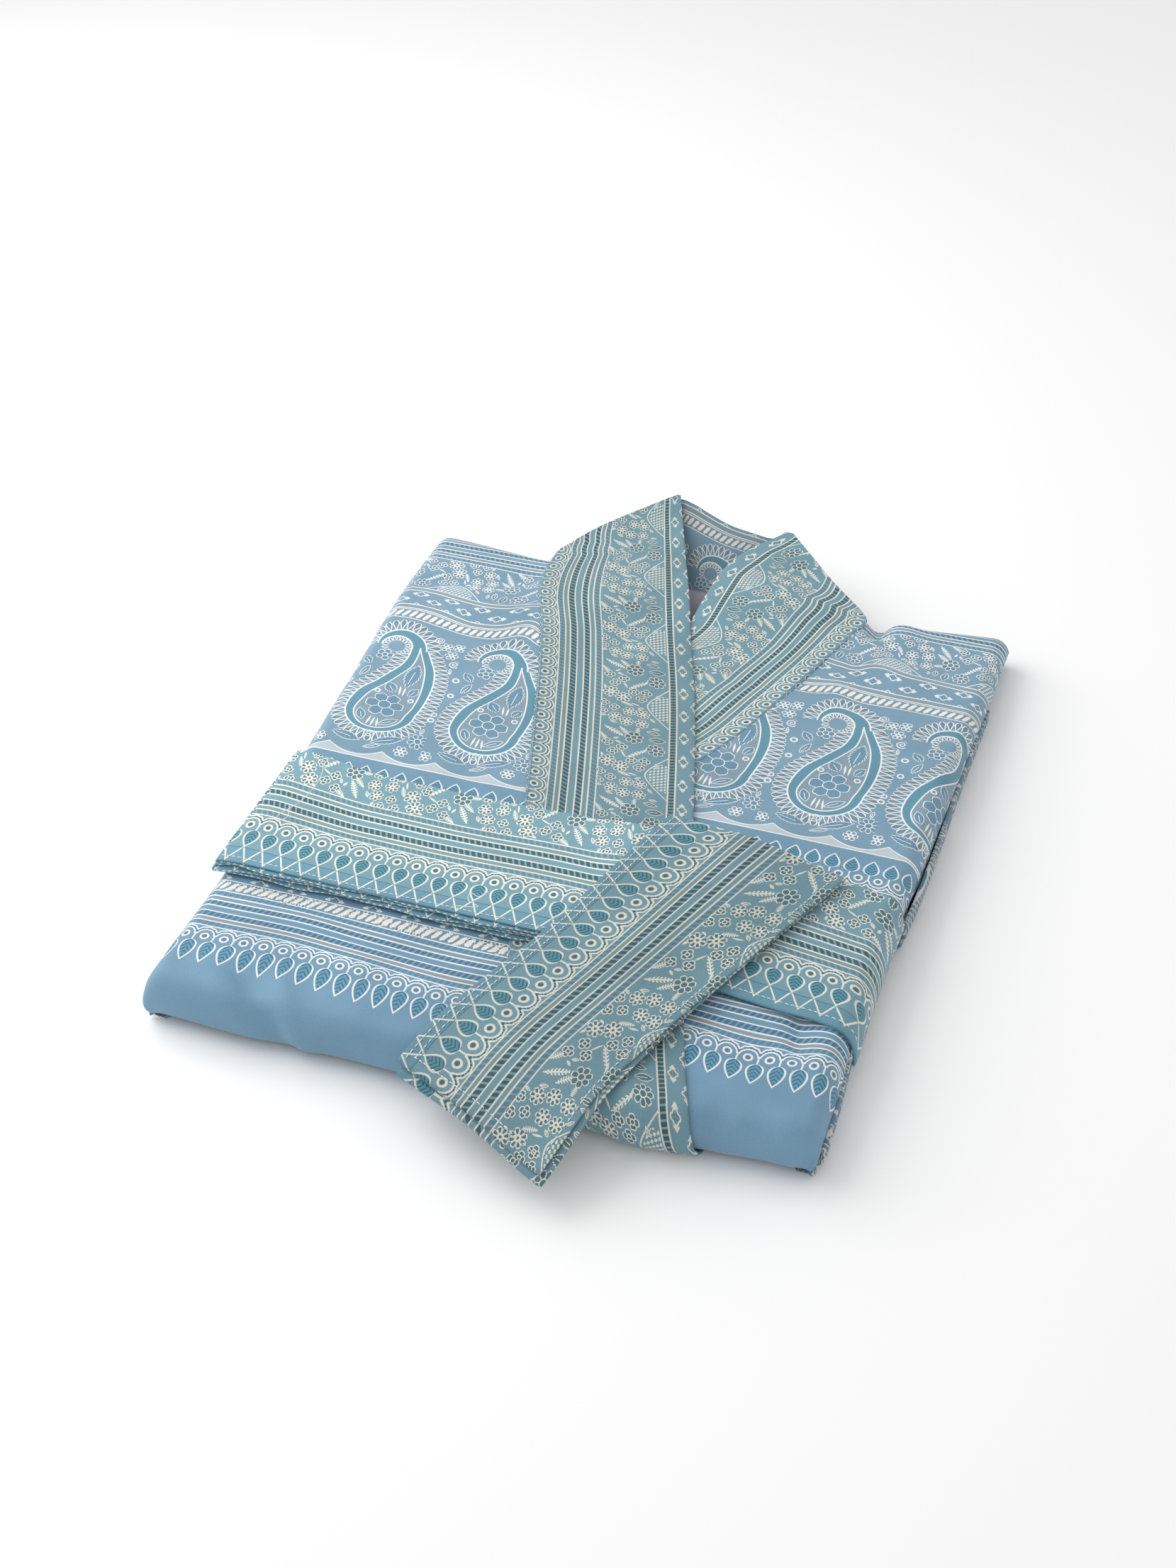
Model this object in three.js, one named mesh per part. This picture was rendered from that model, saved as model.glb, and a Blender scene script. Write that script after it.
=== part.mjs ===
// A cotton kimono robe with its own belt, folded into a flat package and laid face up.
// Millimetres. x runs along the shoulders, y from hem towards neck, z up. The layout below is written
// from the middle of the shoulder line, and CENTRE moves it over the middle of the package's footprint.
import * as THREE from 'three';

// ---- driving dimensions -------------------------------------------------------------------------
const CENTRE = { x: -2.33, y: -202.02 };    // middle of the footprint, in layout coordinates
const GAP = 0.35;                           // air between two pieces
const PANEL = 1.4;                          // front panels: cloth with its seam allowance
const BAND = 1.8;                           // neck band: two plies and interfacing
const FACING = 1.1;                         // back neck facing
const BELT = 1.3;                           // belt, two plies pressed flat
const SHOULDER_FOLD = -1;                   // y of the shoulder fold of the core beside the neck
const CORNER_SWEEP = 7;                     // how far that fold runs back again at the corners
const SIDE_ROUND = 8;                       // depth of the rounding at the long sides
const FRONT_ROUND = 9;                      // depth of the rounding at the lower fold
const BACK_ROUND = 7;                       // depth of the rounding at the shoulder fold
const ARC_STEP = 11.5;                      // cloth used for one radian round an edge
const CORNER_PULL = 3;                      // how far the four corners of the package draw in
const NECK_FLOOR = 14.2;                    // height of the core inside the neck
const LAYER_GROOVE = 1.1;                   // depth of the grooves between layers at the core's edges
const BAND_LIFT = 2.3;                      // how far the upper neck band climbs over the lower one

// Side edges and height of the core, a row for each station down the package.
const BODY = [
  // y      left    right   height
  [   10,  -178.0,  173.6,  19.0 ],
  [  -60,  -177.6,  172.6,  23.5 ],
  [ -130,  -173.6,  169.4,  27.0 ],
  [ -220,  -168.4,  166.2,  29.0 ],
  [ -245,  -167.4,  164.6,  29.0 ],
  [ -270,  -167.4,  162.2,  28.9 ],
  [ -340,  -167.6,  160.8,  28.5 ],
  [ -370,  -169.0,  161.8,  27.8 ],
  [ -420,  -171.0,  162.2,  26.0 ],
];
// Lower fold of the core, which bellies out a little where the neck band hangs over it.
const FRONT_FOLD = [
  // x      y
  [ -172,  -412.0 ],
  [ -120,  -414.5 ],
  [  -40,  -415.0 ],
  [   25,  -417.5 ],
  [   80,  -417.5 ],
  [  112,  -413.5 ],
  [  164,  -409.5 ],
];
// Neck band of the left front: its sewn or creased edge and its free edge.
const LEFT_BAND = [
  // y      edge    free
  [ -440,   25.0,  112.0 ],
  [ -372,    2.0,   88.0 ],
  [ -300,  -21.0,   68.5 ],
  [ -214,  -44.0,   46.4 ],
  [ -130,  -68.0,   22.7 ],
  [  -75,  -85.0,    4.4 ],
  [  -36,  -99.5,   -8.1 ],
  [    4,  -102.5, -22.0 ],
  [   16,  -95.5,  -26.0 ],
  [   31,  -80.5,  -31.0 ],
  [   50,  -56.0,  -37.5 ],
  [   60,  -42.8,  -41.2 ],
];
// Neck band of the right front, which goes under the left one.
const RIGHT_BAND = [
  // y      edge    free
  [ -206,   21.5,   19.0 ],
  [ -180,   33.5,   12.0 ],
  [ -142,   51.8,   -3.0 ],
  [  -95,   67.1,  -14.0 ],
  [  -54,   79.0,   -2.0 ],
  [  -25,   86.5,    0.8 ],
  [   -3,   90.2,    3.0 ],
  [   27,   57.2,   13.2 ],
  [   48,   32.5,   29.7 ],
];
// Hidden edge of the right front under the left neck band.
const RIGHT_UNDER = [
  // y      x
  [ -440,   86.0 ],
  [ -300,   44.0 ],
  [ -206,   19.0 ],
  [ -180,   12.0 ],
  [ -142,   -3.0 ],
  [  -95,  -14.0 ],
  [  -54,   -2.0 ],
  [   60,    0.0 ],
];
// Height of the creases where the neck band turns to the back, and how far it stands up between them.
const NECK_RISE = [
  // y     crease  stand
  [ -130,   0.0,   0.0 ],
  [  -75,   0.0,   4.0 ],
  [  -36,   0.0,  10.0 ],
  [    0,   0.5,  13.5 ],
  [   13,   3.2,  12.0 ],
  [   30,  10.0,   8.0 ],
  [   47,  17.2,   2.5 ],
  [   60,  22.0,   0.0 ],
];
// Upper edge of the back neck, from the left crease round to the right one.
const BACK_NECK = [
  // x      y      z
  [ -94.0,  13.0,  21.6 ],
  [ -78.0,  30.5,  28.2 ],
  [ -56.5,  47.5,  35.8 ],
  [ -42.5,  58.0,  39.6 ],
  [ -33.0,  57.0,  39.4 ],
  [ -19.0,  51.0,  37.6 ],
  [  -5.0,  45.6,  36.0 ],
  [  10.0,  42.0,  35.8 ],
  [  22.0,  40.5,  35.2 ],
  [  31.0,  45.0,  33.6 ],
  [  52.0,  25.0,  26.0 ],
  [  75.0,   6.0,  19.4 ],
];
const FACING_FOOT = { left: -68, right: 46, y: -36, z: 15.6 };
const FACING_CLIMB = 1.7;                   // how late the facing climbs: 1 is a straight slope
const FACING_MIDDLE = { y: 46, z: 37.5 };   // its upper edge above the label
const LABEL = { x: -9, y: -17, width: 38, depth: 22, thick: 0.8 };

// The belt: a stack of folded runs on the left, one run over the right side, and an end laid across.
const BELT_STACK = { layers: 5, pitch: 1.65, left: -163.5, right: 44, top: -241, foot: -331, sag: 2 };
const BELT_STAGGER = [9.2, 6.8, 4.4, 2.5, 0];        // how far each run sits forward of the top one
const BELT_LEFT_FLARE = 3.2;                         // how far the left ends run out towards the foot
const BELT_LEFT_STAGGER = 0.7;                       // and from each run to the one below
const BELT_RIGHT = { left: 64, top: -243, foot: -340, turn: 1.7, thick: 2.0, slope: 6 };
const BELT_LOWER_LEAF = { longer: 1.02, aside: 3.5 };  // how the end's lower leaf shows past the upper one
const BELT_CLEAR = 0.55;                    // air under the belt
const BELT_END_DIRECTION = [0.375, 0.927];  // the way its end points back up the package
const BELT_END = [
  // along  left x   left y    left z  right x  right y   right z
  [ 0.0,    42.7,   -224.2,   42.6,   134.5,  -247.5,   35.9 ],
  [ 0.12,   33.6,   -247.8,   43.2,   123.8,  -272.9,   36.3 ],
  [ 0.5,     4.9,   -322.5,   43.2,    89.6,  -353.3,   36.6 ],
  [ 0.62,   -4.2,   -346.1,   41.4,    78.8,  -378.7,   35.6 ],
  [ 0.8,   -17.9,   -381.4,   37.0,    62.6,  -416.8,   32.0 ],
  [ 0.9,   -25.4,   -401.0,   32.6,    53.6,  -437.9,   26.0 ],
  [ 1.0,   -33.0,   -420.7,   26.0,    44.6,  -459.0,   18.0 ],
  [ 1.04,  -36.0,   -428.6,   22.6,    41.0,  -466.7,   14.6 ],
];

const NECK_POINT = -200;                    // below this y only the left neck band shows
const BAND_OVER_SHOULDER = -20;             // above this y the bands leave the package's surface

const COLOUR = { body: 0x6f9dbd, band: 0x72a3ad, inner: 0x55809c, label: 0xb9bfc6, hidden: 0x5f88a3 };

// ---- small maths --------------------------------------------------------------------------------
const clamp01 = (t) => Math.min(1, Math.max(0, t));
const mix = (a, b, t) => a + (b - a) * t;
const ease = (from, to, x) => {
  const t = clamp01((x - from) / (to - from));
  return t * t * (3 - 2 * t);
};

// A smooth curve through one column of a table, read by its first column.
function through(table, column) {
  const rows = [...table].sort((a, b) => a[0] - b[0]);
  const at = rows.map((row) => row[0]);
  const value = rows.map((row) => row[column]);
  const slope = value.map((_, i) => {
    const before = Math.max(0, i - 1);
    const after = Math.min(value.length - 1, i + 1);
    return (value[after] - value[before]) / (at[after] - at[before]);
  });
  return (x) => {
    const inside = Math.min(at[at.length - 1], Math.max(at[0], x));
    let i = 0;
    while (i < at.length - 2 && inside > at[i + 1]) i += 1;
    const span = at[i + 1] - at[i];
    const t = (inside - at[i]) / span;
    const t2 = t * t;
    const t3 = t2 * t;
    return (2 * t3 - 3 * t2 + 1) * value[i] + (t3 - 2 * t2 + t) * span * slope[i]
      + (3 * t2 - 2 * t3) * value[i + 1] + (t3 - t2) * span * slope[i + 1];
  };
}

const bodyLeft = through(BODY, 1);
const bodyRight = through(BODY, 2);
const bodyHeight = through(BODY, 3);
const leftEdge = through(LEFT_BAND, 1);
const leftFree = through(LEFT_BAND, 2);
const rightEdge = through(RIGHT_BAND, 1);
const rightFree = through(RIGHT_BAND, 2);
const rightUnder = through(RIGHT_UNDER, 1);
const creaseRise = through(NECK_RISE, 1);
const standRise = through(NECK_RISE, 2);
const shoulderFold = (x) => SHOULDER_FOLD + CORNER_SWEEP * ease(100, 176, Math.abs(x));
const frontFold = through(FRONT_FOLD, 1);
const frontStart = (x) => frontFold(x) + FRONT_ROUND;

// How much the neck band stands up at a place: nothing at its sewn edges, all of it between them.
function neckStand(x, y) {
  const fromLeft = x - leftEdge(y);
  const fromRight = (y < NECK_POINT ? Infinity : rightEdge(y)) - x;
  return standRise(y) * ease(-8, 78, Math.min(fromLeft, fromRight));
}

// Height of the cloth's support with no rounding at the edges of the package.
const supportHeight = (x, y) => bodyHeight(y) + creaseRise(y) + neckStand(x, y);

// The hollow of the neck, 1 inside it.
function neckHollow(x, y) {
  const inside = Math.min(x - leftEdge(y), (y < NECK_POINT ? leftEdge(y) : rightEdge(y)) - x);
  return ease(3, 11, inside) * ease(-72, -51.6, y);
}

// ---- the package's surface ----------------------------------------------------------------------
// a and b are cloth coordinates: they equal x and y on top, and run on round the edges.
function foldedPoint(a, b, coreTop) {
  const backStart = shoulderFold(a) - BACK_ROUND;
  const foldStart = frontStart(a);
  let y = b;
  let endTurn = 0;
  if (b > backStart) {
    endTurn = Math.min(Math.PI, (b - backStart) / ARC_STEP);
    y = backStart + BACK_ROUND * Math.sin(endTurn);
  } else if (b < foldStart) {
    endTurn = Math.min(Math.PI, (foldStart - b) / ARC_STEP);
    y = foldStart - FRONT_ROUND * Math.sin(endTurn);
  }
  const leftStart = bodyLeft(y) + SIDE_ROUND;
  const rightStart = bodyRight(y) - SIDE_ROUND;
  let x = a;
  let sideTurn = 0;
  if (a < leftStart) {
    sideTurn = Math.min(Math.PI, (leftStart - a) / ARC_STEP);
    x = leftStart - SIDE_ROUND * Math.sin(sideTurn);
  } else if (a > rightStart) {
    sideTurn = Math.min(Math.PI, (a - rightStart) / ARC_STEP);
    x = rightStart + SIDE_ROUND * Math.sin(sideTurn);
  }
  const sideShare = (1 + Math.cos(sideTurn)) / 2;
  const endShare = (1 + Math.cos(endTurn)) / 2;
  x -= Math.sign(a) * CORNER_PULL * (1 - endShare) ** 2 * ease(60, 170, Math.abs(a));
  y -= Math.sign(b - CENTRE.y) * CORNER_PULL * (1 - sideShare) ** 2 * ease(90, 205, Math.abs(b - CENTRE.y));
  const flat = bodyHeight(y) + (coreTop ? coreTop(x, y) : neckStand(x, y));
  return new THREE.Vector3(x, y, flat * sideShare * endShare);
}

// The same surface moved out along its own normal.
function moved(pointAt, a, b, out) {
  const step = 0.5;
  const point = pointAt(a, b);
  const alongA = pointAt(a + step, b).sub(pointAt(a - step, b));
  const alongB = pointAt(a, b + step).sub(pointAt(a, b - step));
  const normal = alongA.cross(alongB);
  if (normal.length() < 1e-9) return point;
  return point.addScaledVector(normal.normalize(), out);
}

const skinPoint = (a, b) => foldedPoint(a, b, null);

// The neck bands run on past the shoulder, so their surface has no rounding there.
function bandPoint(x, y) {
  if (y < BAND_OVER_SHOULDER) return skinPoint(x, y);
  return new THREE.Vector3(x, y, supportHeight(x, y));
}

// ---- solids -------------------------------------------------------------------------------------
function solid(points, faces) {
  const merged = new Float32Array(points.length * 3);
  points.forEach((p, i) => merged.set([p.x - CENTRE.x, p.y - CENTRE.y, p.z], i * 3));
  const geometry = new THREE.BufferGeometry();
  geometry.setAttribute('position', new THREE.BufferAttribute(merged, 3));
  let volume = 0;
  for (const [i, j, k] of faces) {
    volume += points[i].dot(new THREE.Vector3().crossVectors(points[j], points[k]));
  }
  const outward = volume > 0 ? faces : faces.map(([i, j, k]) => [i, k, j]);
  geometry.setIndex(outward.flat());
  geometry.computeVertexNormals();
  return geometry;
}

// A wall of cloth: an outer and an inner sheet over the same grid, closed round its four edges.
function wall(columns, rows, outer, inner) {
  const points = [];
  const faces = [];
  const place = (side, i, j) => side * (columns + 1) * (rows + 1) + j * (columns + 1) + i;
  for (const sheet of [outer, inner]) {
    for (let j = 0; j <= rows; j += 1) {
      for (let i = 0; i <= columns; i += 1) points.push(sheet(i / columns, j / rows, i, j));
    }
  }
  const quad = (p, q, r, s) => faces.push([p, q, r], [p, r, s]);
  for (let j = 0; j < rows; j += 1) {
    for (let i = 0; i < columns; i += 1) {
      quad(place(0, i, j), place(0, i + 1, j), place(0, i + 1, j + 1), place(0, i, j + 1));
      quad(place(1, i, j), place(1, i, j + 1), place(1, i + 1, j + 1), place(1, i + 1, j));
    }
  }
  for (let i = 0; i < columns; i += 1) {
    quad(place(0, i + 1, 0), place(0, i, 0), place(1, i, 0), place(1, i + 1, 0));
    quad(place(0, i, rows), place(0, i + 1, rows), place(1, i + 1, rows), place(1, i, rows));
  }
  for (let j = 0; j < rows; j += 1) {
    quad(place(0, 0, j), place(0, 0, j + 1), place(1, 0, j + 1), place(1, 0, j));
    quad(place(0, columns, j + 1), place(0, columns, j), place(1, columns, j), place(1, columns, j + 1));
  }
  return solid(points, faces);
}

// Stations down the package, the same for every piece that lies on it, so their facets run level.
const END_TURNS = [0.4, 0.8, 1.2, 1.6, 2.0];
const LAST_STATION = -400;
function stations(from, to, count) {
  return Array.from({ length: count + 1 }, (_, i) => mix(from, to, i / count));
}
const TOP_STATIONS = stations(-12, LAST_STATION, 19);

const sideWrap = [1.3, 0.95, 0.6, 0.3];

// Columns across a front panel, from its side edge to its seam.
function panelColumn(i, columns, wrapCount, start, seam, outwards) {
  if (i < wrapCount) return start + outwards * ARC_STEP * sideWrap[i];
  return mix(start, seam, (i - wrapCount) / (columns - wrapCount));
}

const SEAM_TOP = -8;                         // y where a panel's seam ends at the shoulder

function frontPanel(outwards, seamAt) {
  const columns = 11;
  const wraps = sideWrap.length;
  const backStations = [...END_TURNS].reverse();
  const rows = backStations.length + TOP_STATIONS.length + END_TURNS.length - 1;
  const station = (j, a) => {
    if (j < backStations.length) return shoulderFold(a) - BACK_ROUND + ARC_STEP * backStations[j];
    const k = j - backStations.length;
    if (k < TOP_STATIONS.length) return TOP_STATIONS[k];
    return frontStart(a) - ARC_STEP * END_TURNS[k - TOP_STATIONS.length];
  };
  const place = (i, j, out) => {
    const rough = Math.min(TOP_STATIONS[0], Math.max(LAST_STATION, station(j, 0)));
    const edge = outwards < 0 ? bodyLeft(rough) + SIDE_ROUND : bodyRight(rough) - SIDE_ROUND;
    const seamY = Math.min(SEAM_TOP, station(j, 0));
    const seam = seamAt(seamY) + (seamY === SEAM_TOP ? outwards : 0);
    const a = panelColumn(i, columns, wraps, edge, seam, outwards);
    return moved(skinPoint, a, station(j, a), out);
  };
  return wall(columns, rows, (s, t, i, j) => place(i, j, GAP + PANEL), (s, t, i, j) => place(i, j, GAP));
}

// A neck band between its two edges. Rows lie at the stations, then go on over the shoulder.
function neckBand(edgeAt, freeAt, rowList, columns, lift) {
  const place = (s, j, out) => {
    const across = (y) => mix(edgeAt(y), freeAt(y), s);
    const row = rowList[j];
    const y = typeof row === 'function' ? row(across(LAST_STATION)) : row;
    return moved(bandPoint, across(y), y, out + lift(across(y), y));
  };
  return wall(columns, rowList.length - 1, (s, t, i, j) => place(s, j, GAP + BAND),
    (s, t, i, j) => place(s, j, GAP));
}

const overRight = (x, y) => BAND_LIFT * ease(-24, -3, x - rightUnder(y));

function leftNeckBand() {
  const overShoulder = [0, 8, 16, 24, 32, 40, 48, 54, 59];
  const overFold = [...END_TURNS].reverse().map((turn) => (x) => frontStart(x) - ARC_STEP * turn);
  const rowList = [...overFold, ...[...TOP_STATIONS].reverse(), ...overShoulder];
  return neckBand((y) => leftEdge(y) + GAP / 2, leftFree, rowList, 9, overRight);
}

function rightNeckBand() {
  const overShoulder = [-2, 5, 13, 21, 29, 37, 43, 46.5];
  const rowList = [...TOP_STATIONS.filter((y) => y > NECK_POINT).reverse(), ...overShoulder];
  return neckBand((y) => rightEdge(y) - GAP / 2, rightFree, rowList, 8, () => 0);
}

// The hidden folded layers: one rounded body, grooved between layers where its edges show.
function foldedCore() {
  const grooves = [0.22, 0.44];
  const topOf = (x, y) => mix(0.92 * neckStand(x, y), NECK_FLOOR - bodyHeight(y), neckHollow(x, y));
  const corePoint = (a, b) => foldedPoint(a, b, topOf);
  const turns = [0.4, 0.8, 1.2, 1.45, 1.7, 1.9, 2.15, 2.45, 2.8, Math.PI];
  const across = 20;
  const columnCount = turns.length * 2 + across;
  const rowCount = turns.length * 2 + TOP_STATIONS.length - 1;
  const row = (j, a) => {
    if (j < turns.length) return shoulderFold(a) - BACK_ROUND + ARC_STEP * turns[turns.length - 1 - j];
    const k = j - turns.length;
    if (k < TOP_STATIONS.length) return TOP_STATIONS[k];
    return frontStart(a) - ARC_STEP * turns[k - TOP_STATIONS.length];
  };
  const column = (i, y) => {
    const left = bodyLeft(y) + SIDE_ROUND;
    const right = bodyRight(y) - SIDE_ROUND;
    if (i < turns.length) return left - ARC_STEP * turns[turns.length - 1 - i];
    if (i <= turns.length + across) return mix(left, right, (i - turns.length) / across);
    return right + ARC_STEP * turns[i - turns.length - across - 1];
  };
  const points = [];
  const faces = [];
  for (let j = 0; j <= rowCount; j += 1) {
    for (let i = 0; i <= columnCount; i += 1) {
      const rough = Math.max(LAST_STATION, Math.min(TOP_STATIONS[0], row(j, 0)));
      const a = column(i, rough);
      const b = row(j, a);
      const point = corePoint(a, b);
      const share = point.z / bodyHeight(point.y);
      const groove = grooves.reduce((sum, level) => sum + Math.exp(-(((share - level) / 0.05) ** 2)), 0);
      const rim = i === 0 || j === 0 || i === columnCount || j === rowCount;
      const placed = rim ? point : moved(corePoint, a, b, -LAYER_GROOVE * Math.min(1, groove));
      placed.z = rim ? 0 : Math.max(placed.z, 0.02);
      points.push(placed);
    }
  }
  const place = (i, j) => j * (columnCount + 1) + i;
  for (let j = 0; j < rowCount; j += 1) {
    for (let i = 0; i < columnCount; i += 1) {
      faces.push([place(i, j), place(i + 1, j + 1), place(i + 1, j)]);
      faces.push([place(i, j), place(i, j + 1), place(i + 1, j + 1)]);
    }
  }
  const loop = [];
  for (let i = 0; i < columnCount; i += 1) loop.push(place(i, 0));
  for (let j = 0; j < rowCount; j += 1) loop.push(place(columnCount, j));
  for (let i = columnCount; i > 0; i -= 1) loop.push(place(i, rowCount));
  for (let j = rowCount; j > 0; j -= 1) loop.push(place(0, j));
  const middle = points.push(new THREE.Vector3(CENTRE.x, CENTRE.y, 0)) - 1;
  loop.forEach((corner, k) => faces.push([middle, corner, loop[(k + 1) % loop.length]]));
  return solid(points, faces);
}

// Folded sleeve and side layers: a doubled strip along one side, below the front panel's edge.
function sideLayer(outwards, from, to, turnFrom, turnTo, lift) {
  const rows = TOP_STATIONS.filter((y) => y <= from && y >= to);
  const place = (s, j, out) => {
    const y = rows[j];
    const start = outwards < 0 ? bodyLeft(y) + SIDE_ROUND : bodyRight(y) - SIDE_ROUND;
    const a = start + outwards * ARC_STEP * mix(turnFrom, turnTo, s);
    return moved(skinPoint, a, y, out + lift * ease(from, mix(from, to, 0.8), y));
  };
  return wall(4, rows.length - 1, (s, t, i, j) => place(s, j, GAP + 2.1), (s, t, i, j) => place(s, j, GAP));
}

// ---- back of the neck ---------------------------------------------------------------------------
const backNeckRow = BACK_NECK.map(([x, y, z], i) => [i / (BACK_NECK.length - 1), x, y, z]);
const backNeckX = through(backNeckRow, 1);
const backNeckY = through(backNeckRow, 2);
const backNeckZ = through(backNeckRow, 3);

// The facing lies in the neck at its foot and climbs to the upper edge.
function facingPoint(s, q) {
  const x = mix(mix(FACING_FOOT.left, FACING_FOOT.right, s), backNeckX(s), q);
  const y = mix(FACING_FOOT.y, backNeckY(s), q);
  const z = mix(FACING_FOOT.z, backNeckZ(s), q ** FACING_CLIMB);
  return new THREE.Vector3(x, y, z);
}

function sunk(point, drop) {
  return new THREE.Vector3(point.x, point.y, point.z - drop);
}

const backNeckFacing = () => wall(22, 9, facingPoint, (s, q) => sunk(facingPoint(s, q), FACING));

// The back run of the neck band, under the facing, from the back neck seam up to the same edge.
function backNeckBand() {
  const seam = 4.5;
  const start = (s) => (seam - FACING_FOOT.y) / (backNeckY(s) - FACING_FOOT.y);
  const at = (s, q) => facingPoint(s, mix(Math.min(0.93, start(s)), 1, q));
  const inset = (s) => mix(0.02, 0.955, s);
  const drop = FACING + GAP;
  return wall(20, 5, (s, q) => sunk(at(inset(s), q), drop), (s, q) => sunk(at(inset(s), q), drop + BAND));
}

function neckLabel() {
  const at = (s, t, up) => {
    const x = LABEL.x + (s - 0.5) * LABEL.width;
    const y = LABEL.y + (t - 0.5) * LABEL.depth;
    const q = (y - FACING_FOOT.y) / (FACING_MIDDLE.y - FACING_FOOT.y);
    const z = mix(FACING_FOOT.z, FACING_MIDDLE.z, q ** FACING_CLIMB);
    return new THREE.Vector3(x, y, z + up);
  };
  return wall(4, 4, (s, t) => at(s, t, GAP + LABEL.thick), (s, t) => at(s, t, GAP));
}

// ---- the belt -----------------------------------------------------------------------------------
// Height that the belt has to clear: the panels, and the neck band where it crosses.
function beltSupport(x, y) {
  const past = x - leftFree(y);
  const band = BAND_LIFT * ease(-26, -5, x - rightUnder(y)) * (1 - ease(1.5, 26, past));
  return supportHeight(x, y) + GAP + BAND + BELT_CLEAR + band;
}

// A ribbon folded back and forth: runs one above another, joined by round folds at alternate ends.
function foldedRun({ layers, pitch, thick, steps, widthSteps, at }) {
  const path = [];
  for (let layer = 0; layer < layers; layer += 1) {
    const forwards = layer % 2 === 0;
    for (let i = 0; i <= steps; i += 1) {
      const along = forwards ? i / steps : 1 - i / steps;
      path.push({ along, level: layer, side: forwards ? 1 : -1, bulge: 0 });
    }
    if (layer < layers - 1) {
      for (const angle of [0.25, 0.5, 0.75]) {
        const turn = angle * Math.PI;
        path.push({
          along: forwards ? 1 : 0,
          level: layer + (1 - Math.cos(turn)) / 2,
          side: Math.cos(turn) * (forwards ? 1 : -1),
          bulge: Math.sin(turn) * (forwards ? 1 : -1),
        });
      }
    }
  }
  const place = (i, t, sign) => {
    const { along, level, side, bulge } = path[i];
    const { point, run } = at(along, t, level);
    const reach = (pitch / 2) * Math.abs(bulge) + (sign * thick * Math.abs(bulge)) / 2;
    point.addScaledVector(run, Math.sign(bulge) * reach);
    point.z += level * pitch - (sign * side * thick) / 2;
    return point;
  };
  return wall(path.length - 1, widthSteps, (s, t, i) => place(i, t, 1), (s, t, i) => place(i, t, -1));
}

function beltStack() {
  const { layers, pitch, left, right, top, foot, sag } = BELT_STACK;
  const at = (along, t, level) => {
    const low = Math.min(layers - 1, Math.floor(level));
    const high = Math.min(layers - 1, low + 1);
    const forward = mix(BELT_STAGGER[low], BELT_STAGGER[high], level - low);
    const leftEnd = left - BELT_LEFT_FLARE * t - BELT_LEFT_STAGGER * (layers - 1 - level);
    const x = mix(leftEnd, right, along);
    const y = mix(top, foot, t) - forward;
    const z = beltSupport(x, y) + BELT / 2 - sag * ease(-154, -176, x);
    return { point: new THREE.Vector3(x, y, z), run: new THREE.Vector3(1, 0, 0) };
  };
  return foldedRun({ layers, pitch, thick: BELT, steps: 11, widthSteps: 4, at });
}

function beltRight() {
  const { left, top, foot, turn, thick, slope } = BELT_RIGHT;
  const columns = 10;
  const wraps = 5;
  const place = (i, t, out) => {
    const y = mix(top, foot, t);
    const start = bodyRight(y) - SIDE_ROUND;
    const a = i <= columns - wraps ? mix(left, start, i / (columns - wraps))
      : start + (ARC_STEP * turn * (i - columns + wraps)) / wraps;
    const lean = slope * ease(120, 190, a) * (1 - t);
    const inner = Math.min(a, start);
    const clear = beltSupport(inner, y) - supportHeight(inner, y) - (BAND - PANEL) * ease(110, 150, a);
    return moved(skinPoint, a, y - lean, clear + out);
  };
  return wall(columns, 6, (s, t, i) => place(i, t, thick), (s, t, i) => place(i, t, 0));
}

function beltEnd() {
  const column = (k) => through(BELT_END, k);
  const [leftX, leftY, leftZ, rightX, rightY, rightZ] = [1, 2, 3, 4, 5, 6].map(column);
  const pitch = BELT + 0.55;
  const [runX, runY] = BELT_END_DIRECTION;
  const at = (along, t, level) => {
    const under = 1 - Math.min(1, level);
    const p = (1 - along) * mix(1, BELT_LOWER_LEAF.longer, under);
    const x = mix(leftX(p), rightX(p), t) + BELT_LOWER_LEAF.aside * under * ease(0.3, 1, p);
    const y = mix(leftY(p), rightY(p), t);
    const crown = 1.2 * Math.sin(Math.PI * t) * (1 - ease(0.85, 1, p));
    const z = mix(leftZ(p), rightZ(p), ease(0.42, 1, t)) + crown;
    return { point: new THREE.Vector3(x, y, z), run: new THREE.Vector3(runX, runY, 0) };
  };
  return foldedRun({ layers: 2, pitch, thick: BELT, steps: 16, widthSteps: 6, at });
}

// ---- the part -----------------------------------------------------------------------------------
const robe = new THREE.Group();

function piece(name, geometry, colour) {
  const material = new THREE.MeshStandardMaterial({ color: colour, roughness: 0.72, metalness: 0 });
  const mesh = new THREE.Mesh(geometry, material);
  mesh.name = name;
  robe.add(mesh);
}

piece('folded_core', foldedCore(), COLOUR.hidden);
piece('front_left', frontPanel(-1, (y) => leftEdge(y) - GAP / 2), COLOUR.body);
piece('front_right', frontPanel(1, (y) => (y > -206 ? rightEdge(y) : rightUnder(y)) + GAP / 2), COLOUR.body);
piece('neck_band_left', leftNeckBand(), COLOUR.band);
piece('neck_band_right', rightNeckBand(), COLOUR.band);
piece('neck_band_back', backNeckBand(), COLOUR.band);
piece('back_neck_facing', backNeckFacing(), COLOUR.inner);
piece('neck_label', neckLabel(), COLOUR.label);
piece('sleeve_right', sideLayer(1, -60, -250, 1.35, 2.5, 2.2), COLOUR.inner);
piece('skirt_side_right', sideLayer(1, -345, -405, 1.35, 2.4, 0.6), COLOUR.inner);
piece('sleeve_left', sideLayer(-1, -60, -330, 1.6, 2.5, 1.2), COLOUR.inner);
piece('belt_stack', beltStack(), COLOUR.band);
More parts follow.
